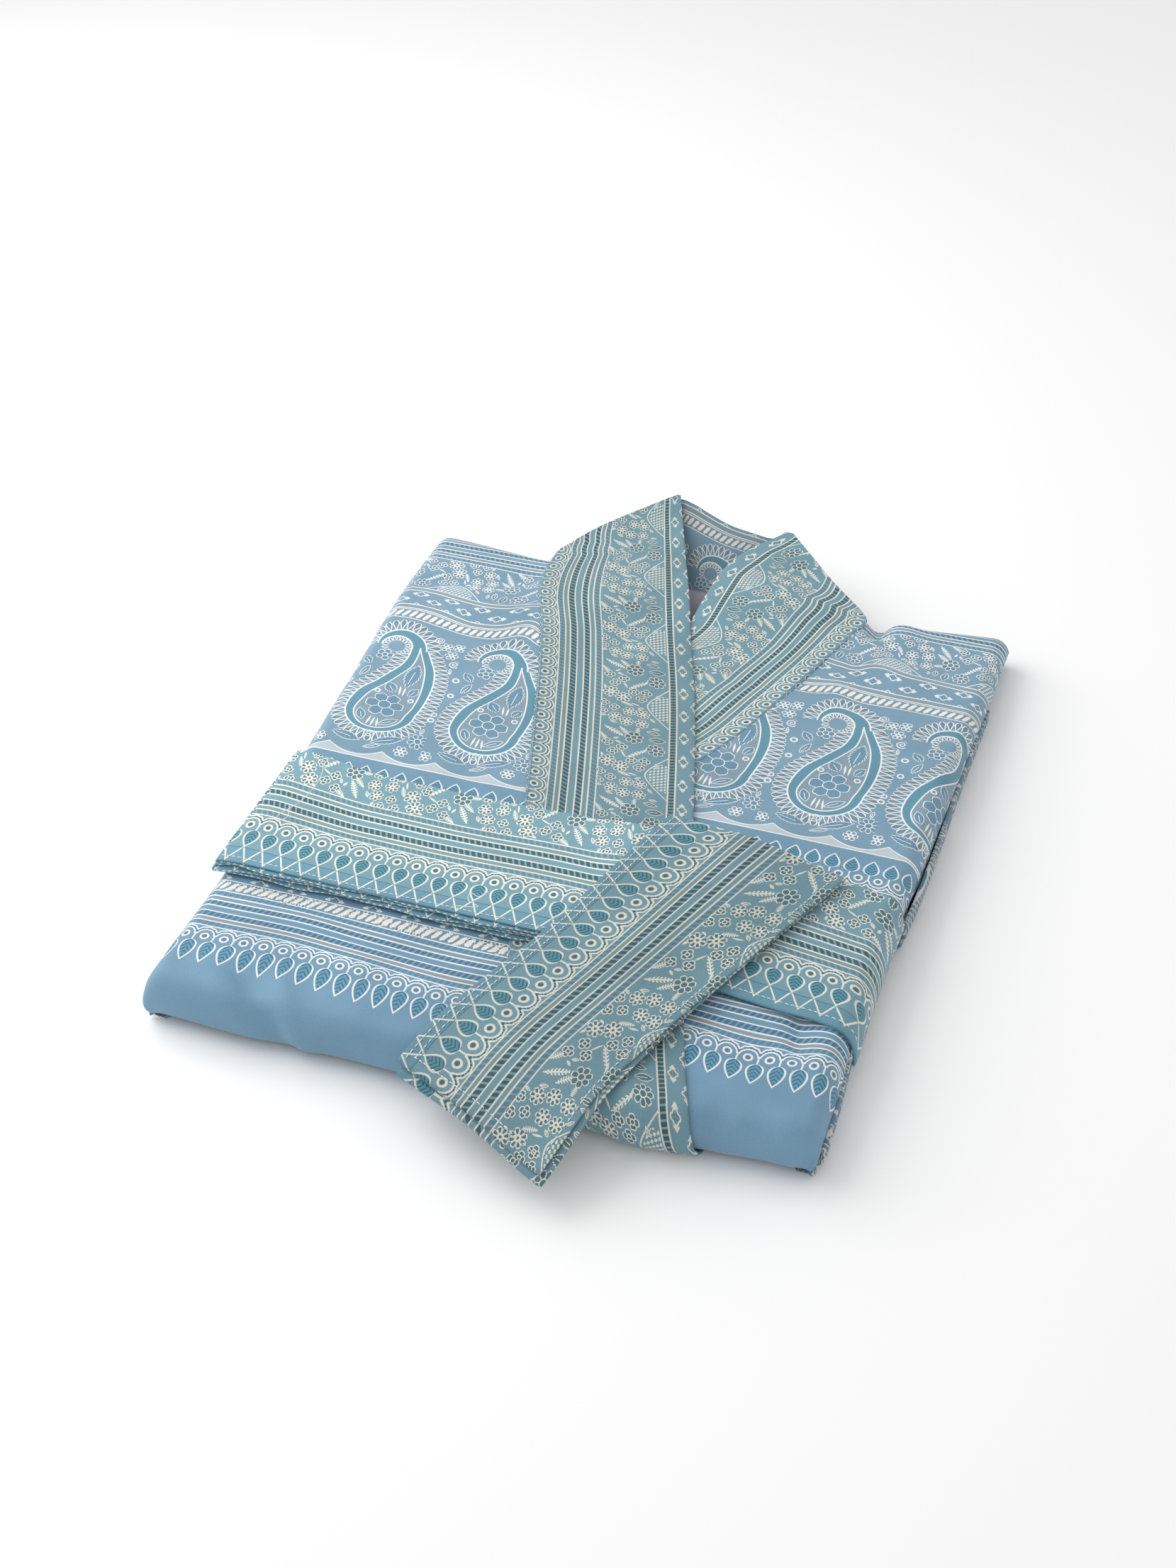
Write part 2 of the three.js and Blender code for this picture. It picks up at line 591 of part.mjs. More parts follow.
piece('belt_right', beltRight(), COLOUR.band);
piece('belt_end', beltEnd(), COLOUR.band);

export default robe;
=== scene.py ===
"""A cotton kimono robe with its own belt, folded into a package: cloth, border print and stitching.

Lengths are in millimetres in the layout of the part's source, whose origin is the middle of the
shoulder line, and turn into metres over the middle of the package when a mesh is made.
"""
import math

import bpy
import numpy as np
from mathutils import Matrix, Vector


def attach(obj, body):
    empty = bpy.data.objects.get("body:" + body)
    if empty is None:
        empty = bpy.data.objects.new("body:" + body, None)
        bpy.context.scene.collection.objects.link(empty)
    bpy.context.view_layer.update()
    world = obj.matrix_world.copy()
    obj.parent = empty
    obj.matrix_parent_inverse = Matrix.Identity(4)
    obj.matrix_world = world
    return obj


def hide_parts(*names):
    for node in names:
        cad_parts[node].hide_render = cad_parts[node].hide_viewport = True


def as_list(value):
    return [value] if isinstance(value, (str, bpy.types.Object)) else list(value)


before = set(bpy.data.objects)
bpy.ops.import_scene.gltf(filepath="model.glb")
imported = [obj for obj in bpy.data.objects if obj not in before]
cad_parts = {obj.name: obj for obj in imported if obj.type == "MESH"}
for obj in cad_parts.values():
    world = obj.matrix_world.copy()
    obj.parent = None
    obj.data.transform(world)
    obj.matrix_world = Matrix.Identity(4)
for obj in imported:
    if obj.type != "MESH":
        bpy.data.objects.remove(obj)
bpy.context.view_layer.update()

MM = 0.001
CENTRE = np.array([-2.33, -202.02, 0.0])

# ---- sizes, the same as the part's ---------------------------------------------------------------
GAP = 0.35
PANEL = 1.4
BAND = 1.8
FACING = 1.1
BELT = 1.3
SHOULDER_FOLD = -1
CORNER_SWEEP = 7
SIDE_ROUND = 8
FRONT_ROUND = 9
BACK_ROUND = 7
FRONT_TUCK = 5
ARC_STEP = 11.5
CORNER_PULL = 3
NECK_FLOOR = 14.2
BAND_LIFT = 2.3
NECK_POINT = -200
BAND_OVER_SHOULDER = -20
LAST_STATION = -400

BODY = [
    # y     left    right  height
    (10, -178.0, 173.6, 19.0),
    (-60, -177.6, 172.6, 23.5),
    (-130, -173.6, 169.4, 27.0),
    (-220, -168.4, 166.2, 29.0),
    (-245, -167.4, 164.6, 29.0),
    (-270, -167.4, 162.2, 28.9),
    (-340, -167.6, 160.8, 28.5),
    (-370, -169.0, 161.8, 27.8),
    (-420, -171.0, 162.2, 26.0),
]
FRONT_FOLD = [
    (-172, -412.0),
    (-120, -414.0),
    (-80, -412.0),
    (-45, -412.0),
    (25, -416.5),
    (80, -417.5),
    (112, -413.5),
    (164, -409.5),
]
LEFT_BAND = [
    # y    edge   free
    (-440, 25.0, 112.0),
    (-372, 2.0, 88.0),
    (-300, -21.0, 68.5),
    (-214, -44.0, 46.4),
    (-130, -68.0, 22.7),
    (-75, -85.0, 4.4),
    (-36, -99.5, -8.1),
    (4, -102.5, -22.0),
    (16, -95.5, -26.0),
    (31, -80.5, -31.0),
    (50, -56.0, -37.5),
    (60, -42.8, -41.2),
]
RIGHT_BAND = [
    # y    edge  free
    (-206, 21.5, 19.0),
    (-180, 33.5, 12.0),
    (-142, 51.8, -3.0),
    (-95, 67.1, -14.0),
    (-54, 79.0, -2.0),
    (-25, 86.5, 0.8),
    (-3, 90.2, 3.0),
    (27, 57.2, 13.2),
    (48, 32.5, 29.7),
]
RIGHT_UNDER = [
    # y    free edge of the right band, carried on below the crossing
    (-440, 86.0),
    (-300, 44.0),
    (-206, 19.0),
    (-180, 12.0),
    (-142, -3.0),
    (-95, -14.0),
    (-54, -2.0),
    (60, 0.0),
]
NECK_RISE = [
    # y   crease stand
    (-130, 0.0, 0.0),
    (-75, 0.0, 4.0),
    (-36, 0.0, 10.0),
    (0, 0.5, 13.5),
    (13, 3.2, 12.0),
    (30, 10.0, 8.0),
    (47, 17.2, 2.5),
    (60, 22.0, 0.0),
]
BACK_NECK = [
    # x     y     z
    (-94.0, 13.0, 21.6),
    (-78.0, 30.5, 28.2),
    (-56.5, 47.5, 35.8),
    (-42.5, 58.0, 39.6),
    (-33.0, 57.0, 39.4),
    (-19.0, 51.0, 37.6),
    (-5.0, 45.6, 36.0),
    (10.0, 42.0, 35.8),
    (22.0, 40.5, 35.2),
    (31.0, 45.0, 33.6),
    (52.0, 25.0, 26.0),
    (75.0, 6.0, 19.4),
]
FACING_LEFT, FACING_RIGHT, FACING_Y, FACING_Z = -68, 46, -36, 15.6
FACING_CLIMB, FACING_WIDTH = 1.7, 170
FACING_MIDDLE_Y, FACING_MIDDLE_Z = 46, 37.5
LABEL_X, LABEL_Y, LABEL_WIDTH, LABEL_DEPTH, LABEL_THICK = -9, -17, 38, 22, 0.8

BELT_RUNS = 5
BELT_PITCH = 1.65
BELT_LEFT, BELT_RIGHT_END, BELT_TOP, BELT_FOOT, BELT_SAG = -163.5, 44, -241, -331.6, 2
BELT_RUN = BELT_RIGHT_END - BELT_LEFT
BELT_STAGGER = np.array([1.3, 1.7, 0.6, 0.9, 0.0])
BELT_LEFT_FLARE = 3.2
BELT_LEFT_STAGGER = 0.7
OVER_LEFT, OVER_TOP, OVER_FOOT = 64, -243, -340
OVER_SIDE, OVER_TURN, OVER_THICK = 153, 1.7, 2.0
OVER_SLOPE, OVER_LEAN = 4, 0.1
LEAF_LONGER, LEAF_ASIDE = 1.02, 3.5
BELT_CLEAR = 0.55
BELT_END = [
    # along left x  left y  left z right x right y right z
    (0.0, 41.0, -236.4, 42.6, 134.5, -247.5, 35.9),
    (0.12, 33.9, -257.6, 43.2, 123.8, -272.9, 36.3),
    (0.5, 12.2, -327.1, 43.2, 89.6, -353.3, 36.6),
    (0.62, 2.7, -348.9, 41.4, 78.8, -378.7, 35.6),
    (0.8, -14.7, -382.7, 37.0, 62.6, -416.8, 32.0),
    (0.9, -25.0, -402.8, 32.2, 55.6, -439.0, 25.6),
    (1.0, -33.6, -423.7, 25.2, 48.2, -460.6, 17.4),
    (1.04, -37.0, -432.6, 21.8, 45.0, -467.6, 14.2),
]
BELT_END_DIRECTION = (0.375, 0.927)


# ---- small maths ---------------------------------------------------------------------------------
def mix(a, b, t):
    """The point a share t of the way from a to b."""
    return a + (b - a) * t


def ease(start, end, x):
    """0 before start, 1 after end, and a smooth step between them."""
    t = np.clip((x - start) / (end - start), 0, 1)
    return t * t * (3 - 2 * t)


def through(table, column=1):
    """A smooth curve through one column of a table: a cubic between rows, with central slopes."""
    rows = np.array(sorted(table), float)
    at, value = rows[:, 0], rows[:, column]
    last = len(at) - 1
    before, after = np.maximum(np.arange(last + 1) - 1, 0), np.minimum(np.arange(last + 1) + 1, last)
    slope = (value[after] - value[before]) / (at[after] - at[before])

    def curve(x):
        """The value at x, which stays level past the table's ends."""
        inside = np.clip(x, at[0], at[-1])
        i = np.clip(np.searchsorted(at, inside) - 1, 0, last - 1)
        span = at[i + 1] - at[i]
        t = (inside - at[i]) / span
        t2, t3 = t * t, t * t * t
        return (
            (2 * t3 - 3 * t2 + 1) * value[i]
            + (t3 - 2 * t2 + t) * span * slope[i]
            + (3 * t2 - 2 * t3) * value[i + 1]
            + (t3 - t2) * span * slope[i + 1]
        )

    return curve


body_left, body_right, body_height = (through(BODY, k) for k in (1, 2, 3))
left_edge, left_free = through(LEFT_BAND, 1), through(LEFT_BAND, 2)
right_edge, right_free = through(RIGHT_BAND, 1), through(RIGHT_BAND, 2)
right_under = through(RIGHT_UNDER)
crease_rise, stand_rise = through(NECK_RISE, 1), through(NECK_RISE, 2)
front_fold = through(FRONT_FOLD)


def shoulder_fold(x):
    """The shoulder fold's y: straight, and swept back again towards the corners."""
    return SHOULDER_FOLD + CORNER_SWEEP * ease(100, 176, np.abs(x))


def front_start(x):
    """The y where the cloth starts to turn down at the lower fold."""
    return front_fold(x) + FRONT_ROUND


def back_start(x):
    """The y where the cloth starts to turn down at the shoulder fold."""
    return shoulder_fold(x) - BACK_ROUND


def side_start(y, outwards):
    """The x where the cloth starts to turn down at the side that outwards, -1 or 1, names."""
    return body_left(y) + SIDE_ROUND if outwards < 0 else body_right(y) - SIDE_ROUND


def neck_stand(x, y):
    """How far the neck band stands up: nothing at its sewn edges, all of it between them."""
    from_right = np.where(y < NECK_POINT, np.inf, right_edge(y) - x)
    return stand_rise(y) * ease(-8, 78, np.minimum(x - left_edge(y), from_right))


def support_height(x, y):
    """Height of what carries the cloth, with no rounding at the edges of the package."""
    return body_height(y) + crease_rise(y) + neck_stand(x, y)


def neck_hollow(x, y):
    """1 inside the hollow of the neck, fading to 0 round it."""
    from_right = np.where(y < NECK_POINT, left_edge(y), right_edge(y)) - x
    return ease(3, 11, np.minimum(x - left_edge(y), from_right)) * ease(-72, -51.6, y)


def points(x, y, z):
    """One array of points from three arrays of coordinates."""
    return np.stack(np.broadcast_arrays(x, y, z), axis=-1).astype(float)


def spread(value, like):
    """One value for each of some points."""
    return np.full(np.shape(like), float(value))


def folded_point(a, b, core=False):
    """The package's surface: flat on top, with its height falling as half a cosine round each edge."""
    back, front = back_start(a), front_start(a)
    back_turn = np.clip((b - back) / ARC_STEP, 0, math.pi)
    front_turn = np.clip((front - b) / ARC_STEP, 0, math.pi)
    y = np.clip(b, front, back) + BACK_ROUND * np.sin(back_turn) - FRONT_ROUND * np.sin(front_turn)
    y = y + FRONT_TUCK * ease(math.pi / 2, math.pi, front_turn)
    left, right = side_start(y, -1), side_start(y, 1)
    left_turn = np.clip((left - a) / ARC_STEP, 0, math.pi)
    right_turn = np.clip((a - right) / ARC_STEP, 0, math.pi)
    x = np.clip(a, left, right) + SIDE_ROUND * (np.sin(right_turn) - np.sin(left_turn))
    side_share = (1 + np.cos(left_turn + right_turn)) / 2
    end_share = (1 + np.cos(back_turn + front_turn)) / 2
    x = x - np.sign(a) * CORNER_PULL * (1 - end_share) ** 2 * ease(60, 170, np.abs(a))
    middle = b - CENTRE[1]
    y = y - np.sign(middle) * CORNER_PULL * (1 - side_share) ** 2 * ease(90, 205, np.abs(middle))
    rise = neck_stand(x, y)
    if core:
        rise = mix(0.92 * rise, NECK_FLOOR - body_height(y), neck_hollow(x, y))
    return points(x, y, (body_height(y) + rise) * side_share * end_share)


def band_point(x, y):
    """The neck bands' surface, which runs on over the shoulder without rounding down."""
    over = points(x, y, support_height(x, y))
    return np.where((y < BAND_OVER_SHOULDER)[..., None], folded_point(x, y), over)


def settled(place):
    """Points with the heights near the floor squeezed, so that nothing goes below it."""
    low = 2 * np.exp((np.minimum(place[..., 2], 2) - 2) / 2)
    place[..., 2] = np.where(place[..., 2] < 2, low, place[..., 2])
    return place


def moved(surface, a, b, out):
    """A surface moved out along its own normal, and settled on the floor."""
    step = 0.5
    along = surface(a + step, b) - surface(a - step, b)
    up = surface(a, b + step) - surface(a, b - step)
    normal = np.cross(along, up)
    size = np.linalg.norm(normal, axis=-1, keepdims=True)
    return settled(surface(a, b) + normal / np.maximum(size, 1e-9) * np.asarray(out)[..., None])


# ---- creases -------------------------------------------------------------------------------------
# Soft folds in the body cloth: from x, y to x, y, half width, and depth, below 0 for a trough.
CREASES = [
    (-168, -52, -104, -30, 8, -2.0),
    (-150, -84, -84, -58, 9, 1.5),
    (-132, -104, -78, -96, 7, -1.2),
    (-172, -150, -118, -176, 10, -1.1),
    (-160, -214, -92, -196, 9, 1.2),
    (-100, -196, -66, -226, 8, -0.9),
    (99, 6, 101, -20, 6, -6.5),
    (112, 4, 122, -30, 9, 1.6),
    (112, -30, 150, -44, 8, -1.6),
    (84, -48, 150, -66, 9, 1.5),
    (70, -84, 122, -96, 8, -1.2),
    (112, -150, 168, -136, 10, 0.9),
    (60, -176, 118, -206, 9, -0.9),
    (150, -208, 128, -170, 7, 0.8),
    (-158, -344, -96, -352, 8, 1.1),
    (-120, -366, -30, -352, 11, -1.0),
    (-150, -384, -118, -420, 9, 1.8),
    (-128, -392, -96, -426, 7, -3.0),
    (-108, -388, -84, -430, 6, 2.0),
    (-60, -396, -18, -424, 8, -1.6),
    (-84, -372, -40, -392, 8, 1.2),
    (136, -338, 141, -366, 5, -2.2),
    (150, -340, 154, -372, 6, 1.4),
    (96, -352, 132, -380, 9, -0.8),
    (118, -402, 108, -430, 6, -1.2),
    (146, -398, 152, -430, 6, 1.0),
]


def body_creases(a, b):
    """The sum of the creases: each is a bell across its own line, fading out at the line's ends."""
    height = 0.35 * np.sin(a / 23.0 + 1.2 * np.sin(b / 41.0)) * np.sin(b / 29.0 + 0.6)
    for x0, y0, x1, y1, width, depth in CREASES:
        length = math.hypot(x1 - x0, y1 - y0)
        dx, dy = (x1 - x0) / length, (y1 - y0) / length
        along = (a - x0) * dx + (b - y0) * dy
        across = (b - y0) * dx - (a - x0) * dy
        fade = ease(-0.25 * length, 0.3 * length, along) * (1 - ease(0.7 * length, 1.25 * length, along))
        height = height + depth * np.exp(-((across / width) ** 2)) * fade
    return height


def band_creases(x, y):
    """The neck bands' own slight waves, which run across them."""
    return 0.22 * np.sin(y / 13.0 + x / 60.0) * np.sin(y / 37.0 + 1.0) + 0.3 * np.sin(y / 31.0 + x / 25.0)


# ---- meshes --------------------------------------------------------------------------------------
def make_object(name, vertices, faces, cloth=None):
    """A piece from points in layout millimetres, with cloth coordinates in millimetres as its UV map."""
    mesh = bpy.data.meshes.new(name)
    placed = (np.asarray(vertices, float).reshape(-1, 3) - CENTRE) * MM
    mesh.from_pydata(placed.tolist(), [], faces)
    if cloth is not None:
        corners = np.empty(len(mesh.loops), dtype=np.int32)
        mesh.loops.foreach_get("vertex_index", corners)
        layer = mesh.uv_layers.new(name="cloth")
        flat = np.asarray(cloth, float).reshape(-1, 2)[corners] * MM
        layer.data.foreach_set("uv", flat.astype(np.float32).ravel())
    mesh.shade_smooth()
    piece = bpy.data.objects.new(name, mesh)
    bpy.context.scene.collection.objects.link(piece)
    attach(piece, "root")
    return piece


def strip(loop):
    """A flat loop of corners closed by a strip of faces between its two sides."""
    faces = []
    first, last = 0, len(loop) - 1
    while last - first >= 3:
        faces.append([loop[first], loop[first + 1], loop[last - 1], loop[last]])
        first += 1
        last -= 1
    if last - first == 2:
        faces.append([loop[first], loop[first + 1], loop[last]])
    return faces


def four_sided(*corners):
    """Faces with four sides, from one array of indices for each corner."""
    return np.stack(corners, axis=-1).reshape(-1, 4).tolist()


def tube_faces(index):
    """Faces round a closed tube of sections, with a strip over each end."""
    ring = np.roll(index, -1, axis=1)
    sides = four_sided(index[:-1], ring[:-1], ring[1:], index[1:])
    return sides + strip(index[0, ::-1].tolist()) + strip(index[-1].tolist())


def facing_out(vertices, index, faces):
    """The faces, turned round if the tube's sides enclose less than nothing."""
    flat = vertices.reshape(-1, 3) - vertices.reshape(-1, 3).mean(axis=0)
    ring = np.roll(index, -1, axis=1)
    corner = [flat[k.ravel()] for k in (index[:-1], ring[:-1], ring[1:], index[1:])]
    volume = (corner[0] * np.cross(corner[1], corner[2]) + corner[0] * np.cross(corner[2], corner[3])).sum()
    return faces if volume > 0 else [face[::-1] for face in faces]


def make_ply(name, place, chart, s_values, t_values, low, high, width, length):
    """A piece of cloth with real thickness and rounded edges, closed all round.

    Each cross section is a loop: the upper side at the height high, a half circle round one edge, the
    lower side at the height low, and a half circle back. The end sections thin out along a quarter
    circle. place(s, t, out) gives points and chart(s, t) cloth coordinates, while width and length say
    how many millimetres one unit of s and of t is.
    """
    radius = (high - low) / 2
    turn = np.linspace(math.pi / 2, -math.pi / 2, 5)[1:-1]
    edge_s, edge_out = radius * np.cos(turn) / width, radius * np.sin(turn)
    s_loop = np.concatenate([s_values, s_values[-1] + edge_s, s_values[::-1], s_values[0] - edge_s])
    side = np.full(len(s_values), radius)
    out_loop = np.concatenate([side, edge_out, -side, -edge_out])
    ends = np.array([1.0, 0.75, 0.35])
    thin = np.sqrt(1 - 0.98 * ends**2)
    toward = math.copysign(1, t_values[-1] - t_values[0]) * radius / length
    t_rows = np.concatenate([t_values[0] - toward * ends, t_values, t_values[-1] + toward * ends[::-1]])
    scale = np.concatenate([thin, np.ones(len(t_values)), thin[::-1]])
    s, t = np.meshgrid(s_loop, t_rows)
    vertices = place(s, t, (high + low) / 2 + scale[:, None] * out_loop[None, :])
    index = np.arange(s.size).reshape(s.shape)
    faces = facing_out(vertices, index, tube_faces(index))
    return make_object(name, vertices, faces, np.stack(chart(s, t), axis=-1))


# ---- the folded robe -----------------------------------------------------------------------------
FRONT_LEFT_PRINT = (-82.9, -174.5)
FRONT_RIGHT_PRINT = (109.3, -165.5)
SIDE_WRAP = 1.3
END_WRAP = 2.35
SEAM_TOP = -8
TOP_ROW = -12
BACK_RUN = 30
FRONT_RUN = 36


def down_the_package(a, row):
    """The cloth coordinate b of a row, with the rows past each end spread round the fold there."""
    back_end = back_start(a) + ARC_STEP * END_WRAP
    front_end = front_start(a) - ARC_STEP * END_WRAP
    b = np.clip(row, LAST_STATION, TOP_ROW)
    b = mix(b, back_end, np.clip((row - TOP_ROW) / BACK_RUN, 0, None))
    return mix(b, front_end, np.clip((LAST_STATION - row) / FRONT_RUN, 0, None))


def shifted_print(a, b, bumps):
    """How far the print has been pulled up the package, by bells at a, b with two half widths."""
    return sum(by * np.exp(-(((a - a0) / da) ** 2) - ((b - b0) / db) ** 2) for a0, b0, da, db, by in bumps)


LEFT_PULLS = [
    # a     b    half widths  pull
    (-160, -78, 22, 30, 6.0),
    (-91, -70, 13, 34, 13.0),
    (-124, -80, 10, 20, -1.5),
    (-110, -376, 30, 22, 3.0),
    (-30, -385, 26, 30, -2.5),
]
RIGHT_PULLS = [
    (92, -84, 11, 22, 4.7),
    (77, -54, 8, 18, 3.5),
    (111, -55, 11, 18, 5.0),
    (97, -54, 6, 14, -3.0),
    (120, -372, 16, 16, -3.0),
]


def front_panel(name, outwards, seam_at, print_middle, pulls, lean):
    """A front: on top of the package from its seam to its side, round the side and both ends."""

    def spot(s, row):
        """Where on the package the share s from side to seam lies, at a row."""
        edge = side_start(np.clip(row, LAST_STATION, TOP_ROW), outwards)
        seam_row = np.minimum(SEAM_TOP, down_the_package(0.5 * edge, row))
        seam = seam_at(seam_row) + outwards * ease(SEAM_TOP - 3, SEAM_TOP, row)
        a = mix(edge + outwards * ARC_STEP * SIDE_WRAP, seam, s)
        return a, down_the_package(a, row)

    def place(s, row, out):
        """Points of the creased cloth."""
        a, b = spot(s, row)
        return moved(folded_point, a, b, out + body_creases(a, b))

    def chart(s, row):
        """The print's own coordinates."""
        a, b = spot(s, row)
        v = b - shifted_print(a, b, pulls) - print_middle[1]
        return a - print_middle[0] - lean * (30 - np.clip(v, -60, 100)), v

    rows = np.linspace(TOP_ROW + BACK_RUN, LAST_STATION - FRONT_RUN, 190)
    return make_ply(name, place, chart, np.linspace(0, 1, 64), rows, GAP, GAP + PANEL, 150, 1)


# How much of each neck band's width shows, by y.
LEFT_CUT = [(4, 86.0), (16, 76.0), (31, 56.0), (50, 22.0), (60, 3.0)]
RIGHT_CUT = [
    (-206, 2.5),
    (-180, 21.0),
    (-142, 54.0),
    (-95, 82.0),
    (-54, 86.0),
    (-3, 86.0),
    (27, 46.0),
    (48, 4.0),
]
BAND_WIDTH = 86


def neck_band(name, edge_at, free_at, row_list, lift, handed, cut):
    """A neck band, from its seam to its free edge, lying on the fronts and climbing over the shoulder.

    Where less than its whole width shows, cut gives how much, by y: at the shoulder the seam side is
    out of sight, and lower down the free side is.
    """

    def across(s, row):
        """Where on the package the share s from seam to free edge lies, at a row."""
        start = mix(edge_at(LAST_STATION), free_at(LAST_STATION), s)
        b = np.where(row < LAST_STATION, down_the_package(start, row), row)
        return mix(edge_at(b), free_at(b), s), b

    def place(s, row, out):
        """Points of the band, lifted over what it crosses."""
        x, b = across(s, row)
        return moved(band_point, x, b, out + lift(x, b) + band_creases(x, b))

    def chart(s, row):
        """The border's coordinates: along the band, and out from the rings near its seam."""
        _, b = across(s, row)
        shown = np.interp(b, *np.array(cut).T)
        from_seam = np.where(b > -30, BAND_WIDTH - shown * (1 - s), shown * s)
        return handed * (-1.036 * b - 12.2), from_seam - 3.5

    return make_ply(name, place, chart, np.linspace(0, 1, 40), row_list, GAP, GAP + BAND, BAND_WIDTH, 1)


def over_right(x, y):
    """How far the upper neck band climbs over the lower one."""
    return BAND_LIFT * ease(-24, -3, x - right_under(y))


def facing_point(s, q):
    """The back neck facing: straight lines from its foot to its upper edge, climbing late."""
    x = mix(mix(FACING_LEFT, FACING_RIGHT, s), back_neck_x(s), q)
    z = mix(FACING_Z, back_neck_z(s), np.clip(q, 0, None) ** FACING_CLIMB)
    return points(x, mix(FACING_Y, back_neck_y(s), q), z)


back_row = [(k / (len(BACK_NECK) - 1), *row) for k, row in enumerate(BACK_NECK)]
back_neck_x, back_neck_y, back_neck_z = (through(back_row, k) for k in (1, 2, 3))


def raised(place_at, out):
    """Points of a surface moved straight up."""
    return place_at + points(0, 0, 1) * np.asarray(out)[..., None]


def back_neck_facing():
    """The inside of the back neck, whose print runs down from its upper edge."""
    return make_ply(
        "back_neck_facing_cloth",
        lambda s, q, out: raised(facing_point(s, q), out),
        lambda s, q: (FACING_WIDTH * s - 38, 91 - 92 * (1 - q)),
        np.linspace(0, 1, 70), np.linspace(0, 1, 44), -FACING, 0, FACING_WIDTH, 85,
    )


def back_neck_band():
    """The neck band's run round the back, under the facing, up to the same edge."""
    seam, shown = 4.5, 45

    def at(s, q, out):
        """Points from the seam line up to the facing's edge."""
        start = np.minimum(0.93, (seam - FACING_Y) / (back_neck_y(s) - FACING_Y))
        inset = mix(0.02, 0.955, s)
        return raised(facing_point(inset, mix(start, 1, q)), out)

    high = -FACING - GAP
    return make_ply(
        "neck_band_back_cloth", at, lambda s, q: (FACING_WIDTH * s, BAND_WIDTH - shown * (1 - q)),
        np.linspace(0, 1, 60), np.linspace(0, 1, 20), high - BAND, high, 160, shown,
    )


def label_point(s, t, out):
    """The label's surface, on the facing's middle."""
    x, y = LABEL_X + (s - 0.5) * LABEL_WIDTH, LABEL_Y + (t - 0.5) * LABEL_DEPTH
    q = (y - FACING_Y) / (FACING_MIDDLE_Y - FACING_Y)
    return points(x, y, mix(FACING_Z, FACING_MIDDLE_Z, q**FACING_CLIMB) + out)


def neck_label():
    """A blank woven label sewn on the facing."""
    return make_ply(
        "neck_label_cloth", label_point, lambda s, t: (s * LABEL_WIDTH, t * LABEL_DEPTH),
        np.linspace(0, 1, 16), np.linspace(0, 1, 12), GAP, GAP + LABEL_THICK, LABEL_WIDTH, LABEL_DEPTH,
    )


def side_layer(name, outwards, start_y, end_y, turn_from, turn_to, lift):
    """Folded sleeve or skirt cloth along one side, below the front's edge, in uneven doubled layers."""

    def spot(s, y):
        """Where the share s of the way round the side lies, with a ragged lower edge."""
        ragged = 0.06 * np.sin(y / 9.0) + 0.04 * np.sin(y / 4.3 + 1)
        return side_start(y, outwards) + outwards * ARC_STEP * mix(turn_from, turn_to + ragged, s), y

    def place(s, y, out):
        """Points of the layers, waved where one lies on the next."""
        a, b = spot(s, y)
        rise = lift * ease(start_y, mix(start_y, end_y, 0.8), y)
        fold = 0.5 * np.cos(2 * math.pi * 2.5 * s) * ease(GAP, GAP + 2, out)
        return moved(folded_point, a, b, out + rise + fold)

    def chart(s, y):
        """The print's own coordinates."""
        a, b = spot(s, y)
        return a + 31, b + 228

    rows = np.linspace(start_y, end_y, 90)
    return make_ply(name, place, chart, np.linspace(0, 1, 20), rows, GAP, GAP + 2.1, 12, 1)


def core_point(a, b):
    """The package's surface, with the neck hollowed out."""
    return folded_point(a, b, core=True)


def folded_layers():
    """The hidden folds: the rounded package with a groove between each pair of layers, closed below."""
    levels, groove_depth, groove_width = [0.13, 0.25, 0.37, 0.49, 0.62], 1.5, 0.028
    turns = np.concatenate([np.linspace(0.3, 1.2, 5), np.linspace(1.3, 2.9, 34), [3.02, math.pi]])
    across, down = np.linspace(0, 1, 70), np.linspace(TOP_ROW, LAST_STATION, 90)
    row_turn = np.concatenate([turns[::-1], np.zeros(len(down)), -turns])
    row_y = np.concatenate([np.full(len(turns), TOP_ROW), down, np.full(len(turns), LAST_STATION)])
    column_turn = np.concatenate([-turns[::-1], np.zeros(len(across)), turns])
    column_s = np.concatenate([np.zeros(len(turns)), across, np.ones(len(turns))])
    side, turn = np.meshgrid(column_turn, row_turn)
    s, y = np.meshgrid(column_s, row_y)
    left, right = side_start(y, -1), side_start(y, 1)
    a = mix(left, right, s) + ARC_STEP * side
    b = np.where(turn > 0, back_start(a) + ARC_STEP * turn, y)
    b = np.where(turn < 0, front_start(a) + ARC_STEP * turn, b)
    point = core_point(a, b)
    share = point[..., 2] / body_height(point[..., 1])
    wander = 0.012 * np.sin(a / 19.0 + b / 23.0) + 0.01 * np.sin(b / 11.0 - a / 31.0)
    groove = sum(np.exp(-(((share - level - wander) / groove_width) ** 2)) for level in levels)
    out = np.minimum(0, body_creases(a, b)) - groove_depth * np.minimum(1, groove)
    placed = moved(core_point, a, b, out)
    rim = np.zeros(a.shape, bool)
    rim[[0, -1], :] = True
    rim[:, [0, -1]] = True
    placed[..., 2] = np.where(rim, 0, np.maximum(placed[..., 2], 0.02))
    index = np.arange(a.size).reshape(a.shape)
    faces = four_sided(index[:-1, :-1], index[1:, :-1], index[1:, 1:], index[:-1, 1:])
    loop = np.concatenate([index[0, :-1], index[:-1, -1], index[-1, :0:-1], index[:0:-1, 0]])
    middle = a.size
    vertices = np.concatenate([placed.reshape(-1, 3), [[CENTRE[0], CENTRE[1], 0]]])
    faces += [[int(p), int(q), middle] for p, q in zip(loop, np.roll(loop, -1))]
    cloth = np.concatenate([np.stack([a + 20, b + 260], axis=-1).reshape(-1, 2), [[0, 0]]])
    return make_object("folded_layers", vertices, faces, cloth)


